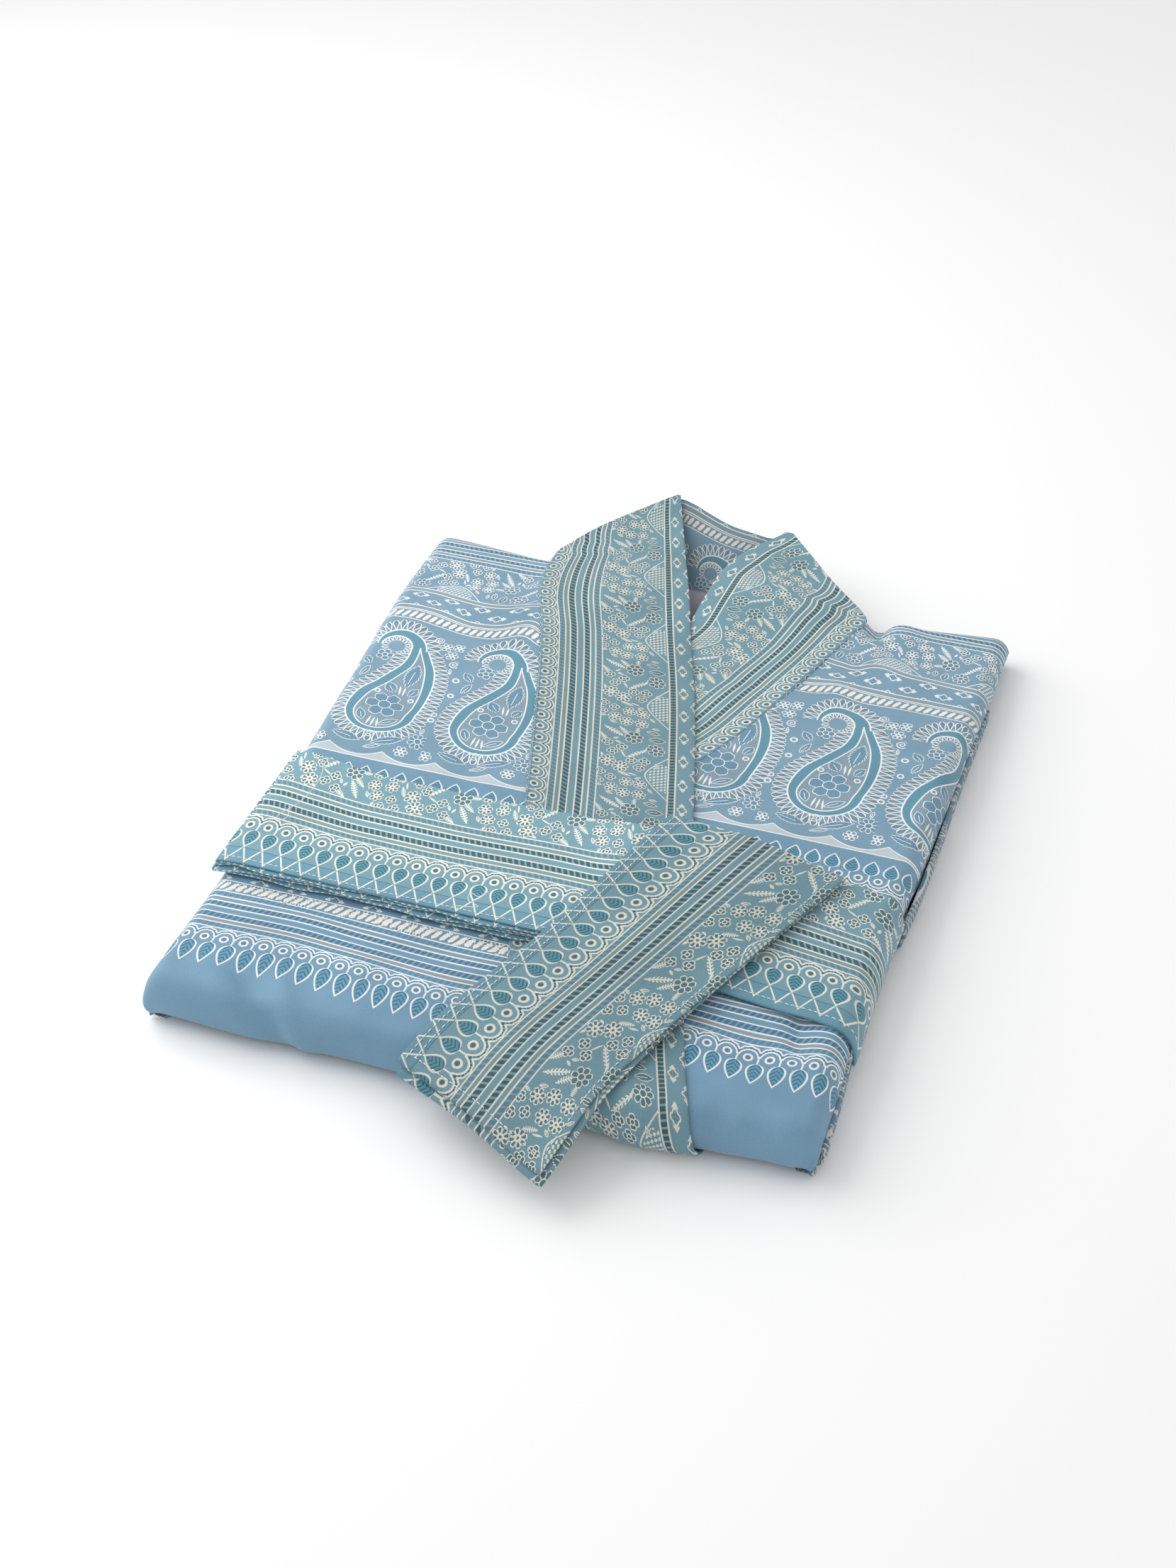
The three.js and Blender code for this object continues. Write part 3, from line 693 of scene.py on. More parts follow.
# ---- the belt ------------------------------------------------------------------------------------
BELT_RING = 67
BELT_WIDTH = 90
BELT_CUT = 90.6
BELT_PRINT_WIDER = 1.17
OVER_PRINT_LONGER = 1.08
END_LENGTH = 212
END_PITCH = BELT + 0.55
END_RING = 26
END_PRINT_LONGER, END_PRINT_WIDER = 1.155, 1.16


def belt_support(x, y):
    """Height that the belt has to clear: the fronts, and the neck band where it crosses."""
    past = x - left_free(y)
    band = BAND_LIFT * ease(-26, -5, x - right_under(y)) * (1 - ease(1.5, 26, past))
    return support_height(x, y) + GAP + BAND + BELT_CLEAR + band


def folded_path(runs, run_length, pitch):
    """Stations along a ribbon folded back and forth, with a half circle at alternate ends.

    The columns are the distance, the share along a run, the level, which side faces down, and how far
    the station bulges past the run's end.
    """
    rows = []
    distance = 0.0
    for level in range(runs):
        forwards = level % 2 == 0
        way = 1 if forwards else -1
        for share in (0.0, 1.0):
            rows.append((distance + share * run_length, share if forwards else 1 - share, level, way, 0.0))
        distance += run_length
        if level < runs - 1:
            for angle in np.linspace(0, math.pi, 9)[1:-1]:
                over, round_it = math.cos(angle), math.sin(angle)
                end = 1.0 if forwards else 0.0
                turn = distance + angle * pitch / 2
                rows.append((turn, end, level + (1 - over) / 2, way * over, way * round_it))
            distance += math.pi * pitch / 2
    return np.array(rows)


def folded_ribbon(name, path, at, run, pitch, thick, chart):
    """A ribbon laid along a folded path: at(along, across, level) places its middle."""
    stops = [np.linspace(p, q, max(2, int((q - p) / 2.4))) for p, q in zip(path[:-1, 0], path[1:, 0])]
    distance = np.unique(np.concatenate(stops).round(4))

    def place(s, far, out):
        """Points of the ribbon, out from its middle on either side and round each turn."""
        along, level, side, bulge = (np.interp(far, path[:, 0], path[:, k]) for k in (1, 2, 3, 4))
        centre = at(along, s, level)
        reach = np.sign(bulge) * np.abs(bulge) * (pitch / 2 + out)
        moved_on = np.stack([run[0] * reach, run[1] * reach, level * pitch - out * side], axis=-1)
        return centre + moved_on

    return make_ply(name, place, chart, np.linspace(0, 1, 34), distance, -thick / 2, thick / 2, BELT_WIDTH, 1)


def belt_bow(x, across):
    """How far the belt's upper edge sags down the package between its left end and the middle."""
    sag = -6.5 * ease(-160, -105, x) * (1 - 0.4 * ease(-70, 0, x)) + 1.5 * (1 - ease(-164, -140, x))
    return sag * (1 - np.clip(across, 0, 1)) ** 0.6


def belt_point(along, across, level):
    """The middle of the belt's cloth on one of its runs, with no thickness of the runs below."""
    low = np.clip(np.floor(level).astype(int), 0, BELT_RUNS - 1)
    high = np.minimum(BELT_RUNS - 1, low + 1)
    forward = mix(BELT_STAGGER[low], BELT_STAGGER[high], level - low)
    left = BELT_LEFT - BELT_LEFT_FLARE * across - BELT_LEFT_STAGGER * (BELT_RUNS - 1 - level)
    x = mix(left, BELT_RIGHT_END, along)
    uneven = 1.3 * np.sin(x / 17.0 + 2.1 * level) + 0.6 * np.sin(x / 6.0 + level)
    y = mix(BELT_TOP, BELT_FOOT, across) - forward * mix(0.45, 1, ease(-150, -40, x)) + belt_bow(x, across)
    y = y + uneven * across * np.minimum(BELT_RUNS - 1 - level, 1)
    z = belt_support(x, y) + BELT / 2 - BELT_SAG * ease(-154, -176, x)
    return points(x, y, z + 0.25 * np.sin(x / 21.0 + across * 2))


def belt_stack():
    """The long part of the belt in five runs, each a little further forward than the one above it."""
    path = folded_path(BELT_RUNS, BELT_RUN, BELT_PITCH)
    return folded_ribbon(
        "belt_stack_cloth", path, belt_point, (1, 0), BELT_PITCH, BELT,
        lambda s, far: (-far, (BELT_RING - 4 - BELT_CUT * s) / BELT_PRINT_WIDER),
    )


def belt_over_point(s, a, out):
    """The single run over the right side: on the fronts, then round the side's edge."""
    y = mix(OVER_TOP, OVER_FOOT, s)
    inner = np.minimum(a, side_start(y, 1))
    clear = belt_support(inner, y) - support_height(inner, y) - (BAND - PANEL) * ease(110, 150, a)
    lean = OVER_LEAN * (np.minimum(a, 170) - 125) + OVER_SLOPE * ease(120, 190, a) * (1 - s)
    wave = 0.3 * np.sin(a / 15.0 + 3 * s) + 0.8 * np.exp(-(((a - 140) / 9) ** 2)) * s**3
    return moved(folded_point, a, y - lean, clear + out + wave)


def belt_over():
    """The belt's run over the right front, as far as the side."""
    end = OVER_SIDE + ARC_STEP * OVER_TURN
    return make_ply(
        "belt_right_cloth", belt_over_point,
        lambda s, a: (2.4 - a / OVER_PRINT_LONGER, BELT_RING - 2.8 - BELT_WIDTH * s),
        np.linspace(0, 1, 40), np.linspace(OVER_LEFT, end, 60), 0, OVER_THICK, 97, 1,
    )


end_left_x, end_left_y, end_left_z = (through(BELT_END, k) for k in (1, 2, 3))
end_right_x, end_right_y, end_right_z = (through(BELT_END, k) for k in (4, 5, 6))


def belt_end_at(along, across, level):
    """The end laid over the front: ruled between its two edges, the lower leaf longer and aside."""
    under = 1 - np.minimum(1, level)
    p = (1 - along) * mix(1, LEAF_LONGER, under)
    x = mix(end_left_x(p), end_right_x(p), across) + LEAF_ASIDE * under * ease(0.3, 1, p)
    y = mix(end_left_y(p), end_right_y(p), across)
    crown = 1.2 * np.sin(math.pi * np.clip(across, 0, 1)) * (1 - ease(0.85, 1, p))
    return points(x, y, mix(end_left_z(p), end_right_z(p), ease(0.42, 1, across)) + crown)


def belt_end_print(s, far):
    """Where the border lies on the belt's end, which is drawn out unevenly along and across."""
    past = BELT_WIDTH * s - END_RING
    run = far - END_LENGTH
    low = np.maximum(run / END_LENGTH - 0.4, 0)
    along = 0.92 * run + END_LENGTH * 0.233 * low * low
    across = np.where(past < 0, past / END_PRINT_WIDER, past - 2 * ease(0, 8, past))
    return 0.5 - along / END_PRINT_LONGER, across


def belt_end():
    """The belt's end, doubled over at its upper fold."""
    path = folded_path(2, END_LENGTH, END_PITCH)
    return folded_ribbon(
        "belt_end_cloth", path, belt_end_at, BELT_END_DIRECTION, END_PITCH, BELT, belt_end_print
    )


# ---- assembly ------------------------------------------------------------------------------------
def left_seam(y):
    """Where the left front meets its neck band."""
    return left_edge(y) - GAP / 2


def right_seam(y):
    """Where the right front meets its neck band, and lower down goes under the left one."""
    return np.where(y > -206, right_edge(y), right_under(y)) + GAP / 2


LEFT_ROWS = np.concatenate([np.linspace(59, 0, 40), np.linspace(-2, LAST_STATION - FRONT_RUN, 200)])
RIGHT_ROWS = np.concatenate([np.linspace(46.5, 0, 34), np.linspace(-2, -200, 100)])

cloth = {
    "folded_core": folded_layers(),
    "front_left": front_panel("front_left_cloth", -1, left_seam, FRONT_LEFT_PRINT, LEFT_PULLS, 0.12),
    "front_right": front_panel("front_right_cloth", 1, right_seam, FRONT_RIGHT_PRINT, RIGHT_PULLS, 0),
    "neck_band_left": neck_band(
        "neck_band_left_cloth", lambda y: left_edge(y) + GAP / 2, left_free,
        LEFT_ROWS, over_right, 1, LEFT_CUT,
    ),
    "neck_band_right": neck_band(
        "neck_band_right_cloth", lambda y: right_edge(y) - GAP / 2, right_free,
        RIGHT_ROWS, lambda x, y: 0 * x, -1, RIGHT_CUT,
    ),
    "neck_band_back": back_neck_band(),
    "back_neck_facing": back_neck_facing(),
    "neck_label": neck_label(),
    "sleeve_right": side_layer("sleeve_right_cloth", 1, -60, -250, 1.35, 2.5, 2.2),
    "skirt_side_right": side_layer("skirt_side_right_cloth", 1, -345, -405, 1.35, 2.4, 0.6),
    "sleeve_left": side_layer("sleeve_left_cloth", -1, -60, -330, 1.6, 2.5, 1.2),
    "belt_stack": belt_stack(),
    "belt_right": belt_over(),
    "belt_end": belt_end(),
}
for node, piece in cloth.items():
    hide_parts(node)


# ---- stitching -----------------------------------------------------------------------------------
def tubes(path, distance, radius):
    """Round bars along a path: one for each row of distances, with a radius at each of its stations."""
    turn = np.linspace(0, 2 * math.pi, 6, endpoint=False)
    middle, forward = path(distance), path(distance + 0.2) - path(distance - 0.2)
    forward = forward / np.linalg.norm(forward, axis=-1, keepdims=True)
    side = np.cross(forward, [0.0, 0.0, 1.0])
    side = side / np.linalg.norm(side, axis=-1, keepdims=True)
    up = np.cross(side, forward)
    round_it = side[..., None, :] * np.cos(turn)[:, None] + up[..., None, :] * np.sin(turn)[:, None]
    vertices = middle[..., None, :] + round_it * radius[..., None, None]
    index = np.arange(vertices[..., 0].size).reshape(vertices.shape[:-1])
    ring = np.roll(index, -1, axis=-1)
    sides = four_sided(index[:, :-1], ring[:, :-1], ring[:, 1:], index[:, 1:])
    return vertices, sides + index[:, 0].tolist() + index[:, -1, ::-1].tolist()


def stitching(name, path, start, end, pitch, share=0.72, radius=0.3):
    """A row of stitches: each is a short bar with rounded ends, arching a little out of the cloth."""
    place = np.linspace(-1, 1, 7)
    middle = np.arange(start, end, pitch)[:, None]
    distance = middle + place * pitch * share / 2 + 0.25 * np.sin(middle * 2.7)
    thick = np.broadcast_to(radius * np.sqrt(1 - 0.9 * place**2), distance.shape)

    def lifted(far):
        """The path, raised in an arch at each stitch."""
        off = np.clip((far - middle) / (pitch * share / 2), -1, 1)
        return path(far) + points(0, 0, 1) * ((radius * (1.1 - 1.5 * off**2))[..., None])

    vertices, faces = tubes(lifted, distance, thick)
    return make_object(name, vertices, faces)


def loose_thread(name, corners, radius=0.2):
    """A loose thread through a few points, lying on the belt."""
    curve = [through([(k, *corner) for k, corner in enumerate(corners)], j) for j in (1, 2, 3)]
    distance = np.linspace(0, len(corners) - 1, 14 * len(corners))[None, :]
    vertices, faces = tubes(
        lambda far: points(*(axis(far) for axis in curve)), distance, spread(radius, distance)
    )
    return make_object(name, vertices, faces)


def on_stack(across, level, forward, up):
    """A line along one of the runs of the belt's stack, by x."""

    def path(x):
        """Points of the line."""
        along = (x - BELT_LEFT) / BELT_RUN
        place = belt_point(along, spread(across, x), spread(level, x))
        return place + points(0, forward, level * BELT_PITCH + up)

    return path


def on_belt_end(across, far):
    """Points on the top of the belt's end, by the share across it and the distance from its fold."""
    along = 1 - far / END_LENGTH + 0 * across
    place = belt_end_at(along, across + 0 * along, spread(1, along))
    return place + points(0, 0, END_PITCH + BELT / 2)


def along_belt_end(across):
    """A line along the top of the belt's end, by the distance from its fold."""
    return lambda far: on_belt_end(across, far)


def on_belt_right(x):
    """A line along the lower hem of the belt's run over the right side, by x."""
    return belt_over_point(spread(0.962, x), x, spread(OVER_THICK, x))


def on_seam(edge_at):
    """A line beside a neck band's seam, by y."""
    return lambda y: moved(band_point, edge_at(y), y, spread(GAP + BAND, y))


# Stitch lengths, and the loose threads' corners.
HEM, SEAM = 2.9, 2.4
LONG_THREAD = [
    (-151, -246, 43.2),
    (-143, -254, 43.4),
    (-140.6, -268, 43.4),
    (-143, -284, 43.4),
    (-149, -296, 43.3),
    (-147.5, -301, 43.6),
    (-144, -297, 43.5),
    (-147, -288, 43.5),
]
SHORT_THREAD = [
    (-27, -319, 44.6),
    (-30, -324, 44.8),
    (-34.5, -323, 44.9),
    (-34, -328, 44.7),
    (-28, -331, 44.6),
    (-40, -333.5, 44.2),
]

threads = {
    "belt_stack": [
        stitching(
            "belt_hem_stitching", on_stack(1 - 2.3 / BELT_CUT, BELT_RUNS - 1, 0, BELT / 2), -162, 12, HEM
        ),
        *[
            stitching(
                f"belt_layer_stitching_{level}", on_stack(1, level, -0.55, 0.1),
                -161, 12, 3.1 + 0.2 * level, share=0.6,
            )
            for level in range(BELT_RUNS - 1)
        ],
        loose_thread("belt_loose_thread", LONG_THREAD),
        loose_thread("belt_loose_thread_right", SHORT_THREAD),
    ],
    "belt_right": [stitching("belt_right_stitching", on_belt_right, 82, 168, HEM)],
    "belt_end": [
        stitching("belt_end_stitching_edge", along_belt_end(0.03), 2, 208, HEM),
        stitching("belt_end_stitching_second", along_belt_end(0.075), 3, 208, HEM),
        stitching("belt_end_stitching_right", along_belt_end(0.965), 2, 206, HEM),
        stitching("belt_end_stitching_foot", lambda x: on_belt_end(x / BELT_WIDTH, 206.5), 4, 86, HEM),
    ],
    "neck_band_left": [
        stitching("left_seam_stitching", on_seam(lambda y: left_edge(y) + 0.9), -232, -2, SEAM),
    ],
    "neck_band_right": [
        stitching("right_seam_stitching", on_seam(lambda y: right_edge(y) - 0.9), -196, -2, SEAM),
    ],
    "neck_label": [
        stitching(
            f"label_stitching_{side}",
            lambda t, s=s: label_point(spread(s, t), t / LABEL_DEPTH, GAP + LABEL_THICK),
            1, LABEL_DEPTH - 1, 1.6, radius=0.16,
        )
        for side, s in (("left", 0.04), ("right", 0.96))
    ],
}


# ---- materials -----------------------------------------------------------------------------------
def colour(code):
    """A colour written as #rrggbb, in the linear numbers that materials use."""
    shares = [int(code[k : k + 2], 16) / 255 for k in (1, 3, 5)]
    return (*[c / 12.92 if c <= 0.04045 else ((c + 0.055) / 1.055) ** 2.4 for c in shares], 1.0)


class Value:
    """A number worked out at each point of a material: arithmetic on it makes Math nodes."""

    def __init__(self, tree, socket):
        self.tree, self.socket = tree, socket

    def __add__(self, other):
        return self.tree.math("ADD", self, other)

    def __radd__(self, other):
        return self.tree.math("ADD", other, self)

    def __sub__(self, other):
        return self.tree.math("SUBTRACT", self, other)

    def __rsub__(self, other):
        return self.tree.math("SUBTRACT", other, self)

    def __mul__(self, other):
        return self.tree.math("MULTIPLY", self, other)

    def __rmul__(self, other):
        return self.tree.math("MULTIPLY", other, self)

    def __truediv__(self, other):
        return self.tree.math("DIVIDE", self, other)

    def __rtruediv__(self, other):
        return self.tree.math("DIVIDE", other, self)

    def __abs__(self):
        return self.tree.math("ABSOLUTE", self)


class Tree:
    """Writes the nodes of one material."""

    def __init__(self, name):
        self.material = bpy.data.materials.new(name)
        self.material.use_nodes = True
        self.nodes, self.links = self.material.node_tree.nodes, self.material.node_tree.links
        self.surface = self.nodes["Principled BSDF"]

    def add(self, kind, settings, sockets):
        """One node: its settings are set first, and then each socket gets its value or its link."""
        node = self.nodes.new(kind)
        for key, setting in settings.items():
            setattr(node, key, setting)
        for key, value in sockets.items():
            self.feed(node.inputs[key], value)
        return node

    def feed(self, socket, value):
        """A socket's value, or a link to it."""
        if isinstance(value, Value):
            self.links.new(value.socket, socket)
        else:
            socket.default_value = value

    def math(self, operation, *values):
        """A Math node."""
        node = self.add("ShaderNodeMath", {"operation": operation}, dict(enumerate(values)))
        return Value(self, node.outputs[0])

    def vector(self, operation, *values, number=False):
        """A Vector Math node, for its vector or for its number."""
        node = self.add("ShaderNodeVectorMath", {"operation": operation}, dict(enumerate(values)))
        return Value(self, node.outputs[1 if number else 0])

    def near(self, value, centre, half):
        """1 where a value is within half of centre."""
        return self.math("COMPARE", value, centre, half)

    def below(self, value, limit):
        """1 where a value is below a limit."""
        return self.math("LESS_THAN", value, limit)

    def above(self, value, limit):
        """1 where a value is above a limit."""
        return self.math("GREATER_THAN", value, limit)

    def between(self, value, low, high):
        """1 where a value is between two limits."""
        return self.both(self.above(value, low), self.below(value, high))

    def wrap(self, value, period):
        """The distance from the middle of a repeat."""
        return self.math("WRAP", value, period / 2, -period / 2)

    def both(self, first, second):
        """The smaller of two numbers: where both masks are."""
        return self.math("MINIMUM", first, second)

    def either(self, first, second):
        """The larger of two numbers: where either mask is."""
        return self.math("MAXIMUM", first, second)

    def choose(self, off, on, mask):
        """One number where the mask is 0 and another where it is 1."""
        node = self.add("ShaderNodeMix", {"data_type": "FLOAT"}, {0: mask, 2: off, 3: on})
        return Value(self, node.outputs[0])

    def paint(self, under, over, mask):
        """One colour laid over another where the mask is."""
        node = self.add("ShaderNodeMix", {"data_type": "RGBA"}, {0: mask, 6: under, 7: over})
        return Value(self, node.outputs[2])

    def point(self, x, y):
        """A flat point as one vector."""
        node = self.add("ShaderNodeCombineXYZ", {}, {0: x, 1: y})
        return Value(self, node.outputs[0])

    def parts(self, vector):
        """The three numbers of a vector."""
        node = self.add("ShaderNodeSeparateXYZ", {}, {0: vector})
        return [Value(self, socket) for socket in node.outputs]

    def cloth(self):
        """The cloth coordinates, in millimetres."""
        node = self.add("ShaderNodeUVMap", {"uv_map": "cloth"}, {})
        u, v, _ = self.parts(Value(self, node.outputs[0]))
        return u / MM, v / MM

    def noise(self, vector, scale, detail=2.0):
        """Smooth noise around 0.5."""
        node = self.add("ShaderNodeTexNoise", {}, {"Vector": vector, "Scale": scale, "Detail": detail})
        return Value(self, node.outputs[0])

    def bump(self, height, strength, depth):
        """A surface direction that follows a height."""
        sockets = {"Height": height, "Strength": strength, "Distance": depth}
        return Value(self, self.add("ShaderNodeBump", {}, sockets).outputs[0])

    def finish(self, sockets):
        """The material, with its surface's sockets fed."""
        for key, value in sockets.items():
            self.feed(self.surface.inputs[key], value)
        return self.material

    def table(self, value, start, end, rows, smooth=True):
        """Four numbers looked up in a table over start to end: red, green, blue and alpha of a ramp."""
        node = self.add("ShaderNodeValToRGB", {}, {0: (value - start) / (end - start)})
        ramp = node.color_ramp
        ramp.interpolation = "CARDINAL" if smooth else "CONSTANT"
        while len(ramp.elements) > 1:
            ramp.elements.remove(ramp.elements[-1])
        for k, (at, *numbers) in enumerate(rows):
            place = (at - start) / (end - start)
            stop = ramp.elements[0] if k == 0 else ramp.elements.new(place)
            stop.position = place
            stop.color = [*numbers, *[1.0] * (4 - len(numbers))]
        split = self.add("ShaderNodeSeparateColor", {}, {0: Value(self, node.outputs[0])})
        return [Value(self, socket) for socket in split.outputs] + [Value(self, node.outputs[1])]


# Kinds of motif. A number of petals from 4 up is a flower drawn in lines, and DAISY more than that number
# is a flower with solid petals; the others have their own shapes. Round ones come by kind and radius with
# their middles, and the rest by kind with x, y, turn in degrees, half length and half width.
SAW, LEAF, FEATHER, SCROLL, RING, DAISY = 0, 1, 2, 3, 13, 20
LINE_WIDTH = 0.52
SPRIG_ROUND = [
    (DAISY + 8, 4.9, [(-0.9, 5.1), (3.6, 11.9)]),
    (DAISY + 7, 4.1, [(16.6, 15.6), (17.6, 22.9), (21.7, 7.6), (25.8, 14.2), (26.4, 22.5)]),
    (7, 5.6, [(-21.6, 18.5)]),
    (8, 5.4, [(-13.5, 30.2)]),
    (4, 3.4, [(-16.5, 4.4), (-13.0, 12.3), (-9.1, 7.3), (-2.0, 17.8), (-2.5, 24.7), (3.6, 21.8)]),
    (4, 3.2, [(9.4, 1.6), (13.4, 7.2)]),
    (4, 3.0, [(17.2, 1.2)]),
]
SPRIG_LEAVES = {
    SAW: [
        (-28.2, 28.7, 84, 4.0, 1.9), (-22.4, 30.9, 96, 5.0, 2.6),
    ],
    FEATHER: [
        (-26.2, 8.0, 54, 5.4, 1.7), (-26.6, 13.4, 36, 3.8, 1.5), (-20.1, 2.8, 30, 3.4, 1.6),
        (-28.2, 20.4, -8, 2.4, 1.3), (-8.2, 20.4, -52, 6.4, 1.4), (9.4, 13.8, 62, 3.2, 1.3),
    ],
    LEAF: [
        (-11.5, 24.5, -28, 3.4, 0.5), (-7.2, 13.2, 24, 3.2, 0.5), (-17.4, 10.2, 60, 1.9, 0.8),
        (9.6, 18.6, 70, 2.8, 0.5), (12.6, 21.6, 120, 2.0, 0.9), (-0.4, 31.0, 12, 2.2, 0.9),
        (21.6, 28.2, 40, 2.2, 0.9), (21.4, 1.6, 100, 1.6, 0.8), (26.6, 7.0, 60, 2.4, 0.9),
        (29.0, 30.0, 90, 2.2, 1.0), (-20.4, 9.0, 110, 1.7, 0.7), (3.6, 4.6, 90, 1.4, 0.6),
        (-5.0, 2.0, 20, 1.8, 0.7),
    ],
}
PAISLEY_ROUND = [
    (6, 11.8, [(-0.6, -3.6)]),
    (RING, 1.9, [(-8.2, 8.4), (12.6, 4.4)]),
    (5, 5.6, [(-13.4, 41.0)]),
    (RING, 2.2, [(-28.2, 29.3)]),
    (RING, 2.0, [(-27.6, 15.1)]),
    (RING, 1.8, [(28.9, -4.0)]),
    (RING, 2.1, [(28.3, -9.2)]),
    (DAISY + 6, 4.4, [(19.8, 58.8), (27.2, 60.4), (24.4, 51.6), (19.4, -40.6), (-28.0, -40.2)]),
    (SCROLL, 3.2, [(13.6, 64.0)]),
    (SCROLL, 3.6, [(28.0, 43.6)]),
    (9, 6.4, [(26.5, -30.6)]),
    (4, 3.2, [(-1.6, -31.6)]),
]
PAISLEY_LEAVES = {
    SAW: [
        (8.0, 25.6, 84, 11.6, 5.0), (-1.6, 13.2, 128, 5.4, 4.0), (12.2, 11.4, 58, 4.6, 3.2),
        (-22.0, 34.5, 130, 5.2, 3.2), (-20.6, 24.0, 66, 5.8, 2.4), (-13.6, -36.6, -14, 9.4, 3.8),
        (10.0, -34.6, 24, 10.6, 3.2), (2.6, -41.2, 22, 5.4, 1.7),
    ],
    LEAF: [
        (4.2, 11.6, 96, 4.2, 0.6), (6.8, 11.2, 88, 4.0, 0.6), (-11.2, -15.4, 112, 5.4, 2.8),
        (5.6, -18.4, 36, 6.4, 2.4), (-5.4, -19.6, 82, 4.4, 0.6), (-2.8, -20.4, 86, 4.6, 0.6),
        (-0.2, -20.6, 98, 4.2, 0.6), (27.4, 36.4, 100, 3.0, 1.0), (26.6, -21.8, 80, 3.0, 1.2),
    ],
}


def motifs(round_ones, leaves):
    """One table of x, y, turn in degrees, half length, half width and kind."""
    table = [(x, y, 0, radius, radius, kind) for kind, radius, places in round_ones for x, y in places]
    return table + [(*place, kind) for kind, places in leaves.items() for place in places]


def nearest_motif(t, place, table):
    """The motif whose outline is closest: its own coordinates, with its kind and line width, and how far.

    The third coordinate is the kind and the line's width as one small number, and 1 is the outline.
    """
    best, local = None, None
    for x, y, turn, long, wide, kind in table:
        code = (kind + min(0.9, LINE_WIDTH / wide)) * 1e-4
        if turn == 0:
            mine = t.vector("MULTIPLY_ADD", place, (1 / long, 1 / wide, 0), (-x / long, -y / wide, code))
        else:
            sockets = {0: place, 1: (x, y, -code), 2: (0, 0, math.radians(turn)), 3: (long, wide, 1)}
            mine = Value(t, t.add("ShaderNodeMapping", {"vector_type": "TEXTURE"}, sockets).outputs[0])
        far = t.vector("LENGTH", mine, number=True)
        if best is None:
            best, local = far, mine
            continue
        node = t.add("ShaderNodeMix", {"data_type": "VECTOR"}, {0: t.below(far, best), 4: local, 5: mine})
        local = Value(t, node.outputs[1])
        best = t.both(best, far)
    return local, best


def flower_motif(t, x, y, far, kind, line):
    """A flower's lines, and where its petals are."""
    daisy = t.above(kind, DAISY)
    petals = kind - daisy * DAISY
    wave = t.math("COSINE", t.math("ARCTAN2", y, x) * petals)
    profile = t.math("MULTIPLY_ADD", wave, 0.12, 0.9) - wave * wave * 0.09
    petal = t.below(far, profile)
    rim = t.above(far, profile - line * 1.1)
    widen = petals * line / (far + 0.05)
    between = t.both(t.below(wave, widen * widen * 0.12 - 1), t.above(far, 0.3))
    centre = t.near(far, 0.3, line * 0.5)
    drawn = t.either(t.either(rim, between), centre)
    # daisies: solid petals, each with a dark oval
    oval = t.both(t.near(far, 0.58, 0.21), t.above(wave, -0.2))
    solid = 1 - t.either(oval, t.below(far, 0.14))
    return t.both(t.choose(drawn, solid, daisy), petal), petal


def leaf_motif(t, x, tall, kind, line):
    """A leaf's lines, with a plain or a sawn edge and a midrib, and where the leaf is."""
    saw = t.math("FRACT", x * 4.5) * 0.2
    body = 1 - x * x - tall - saw * t.below(kind, 0.5)
    midrib = t.both(t.below(tall, line * 0.4), t.below(abs(x + 0.15), 0.5))
    lines = t.either(t.below(body, line * 0.9), midrib)
    leaf = t.above(body, 0)
    return t.both(lines, leaf), leaf


def drawn_motif(t, local, far):
    """The lines and the filled-in parts of the nearest motif, as two masks."""
    x, y, code = t.parts(local)
    code = code * 1e4
    kind = t.math("FLOOR", code)
    line = code - kind
    tall = abs(y)
    inside = t.below(far, 1)
    flower, petal = flower_motif(t, x, y, far, kind, line)
    lines, leaf = leaf_motif(t, x, tall, kind, line)
    barb = t.near(t.wrap(x * 3.2 - tall * 0.55, 1), 0, 0.27)
    feather = t.both(t.either(barb, t.below(tall, 0.24)), t.below(tall + x * x * 0.5, 0.95))
    turn = t.math("ARCTAN2", y, x)
    scroll = t.both(t.near(t.wrap(far - turn * 0.075, 0.47), 0, 0.1), inside)
    ring = t.both(t.near(far, 0.78, 0.24), inside)
    lines = t.choose(lines, feather, t.near(kind, FEATHER, 0.1))
    lines = t.choose(lines, scroll, t.near(kind, SCROLL, 0.1))
    lines = t.choose(lines, flower, t.above(kind, 3.5))
    lines = t.choose(lines, ring, t.near(kind, RING, 0.1))
    fill = t.choose(leaf, petal, t.above(kind, 3.5))
    fill = fill * (1 - t.near(kind, 2.5, 0.6)) * (1 - t.near(kind, RING, 0.1))
    return lines, fill * inside


LINE = 0.42
SPRIGS_FROM = 32.2
SASH_AT, SASH_EDGE = 71.5, 1.9
DROP_TOP, DROP_LENGTH, DROP_TIP = -3.5, 10.8, -14.3
DIAMONDS_AT, DIAMOND_ROWS = 77.2, 12.4
STRIPE_BANDS = [
    # distance of a line from the rings, and what is past it: sage cloth, and how dark the dashes are
    (7.2, 0, 0.5),
    (10.8, 1, 0),
    (13.6, 0, 1),
    (17.7, 0, 0),
    (21.6, 0, 1),
    (25.4, 0.4, 0),
    (28.4, 0, 0.5),
    (SPRIGS_FROM, 0, 0),
]
REPEAT = 61
RING_PERIOD = REPEAT / 6
DASH_PERIOD = 3.2


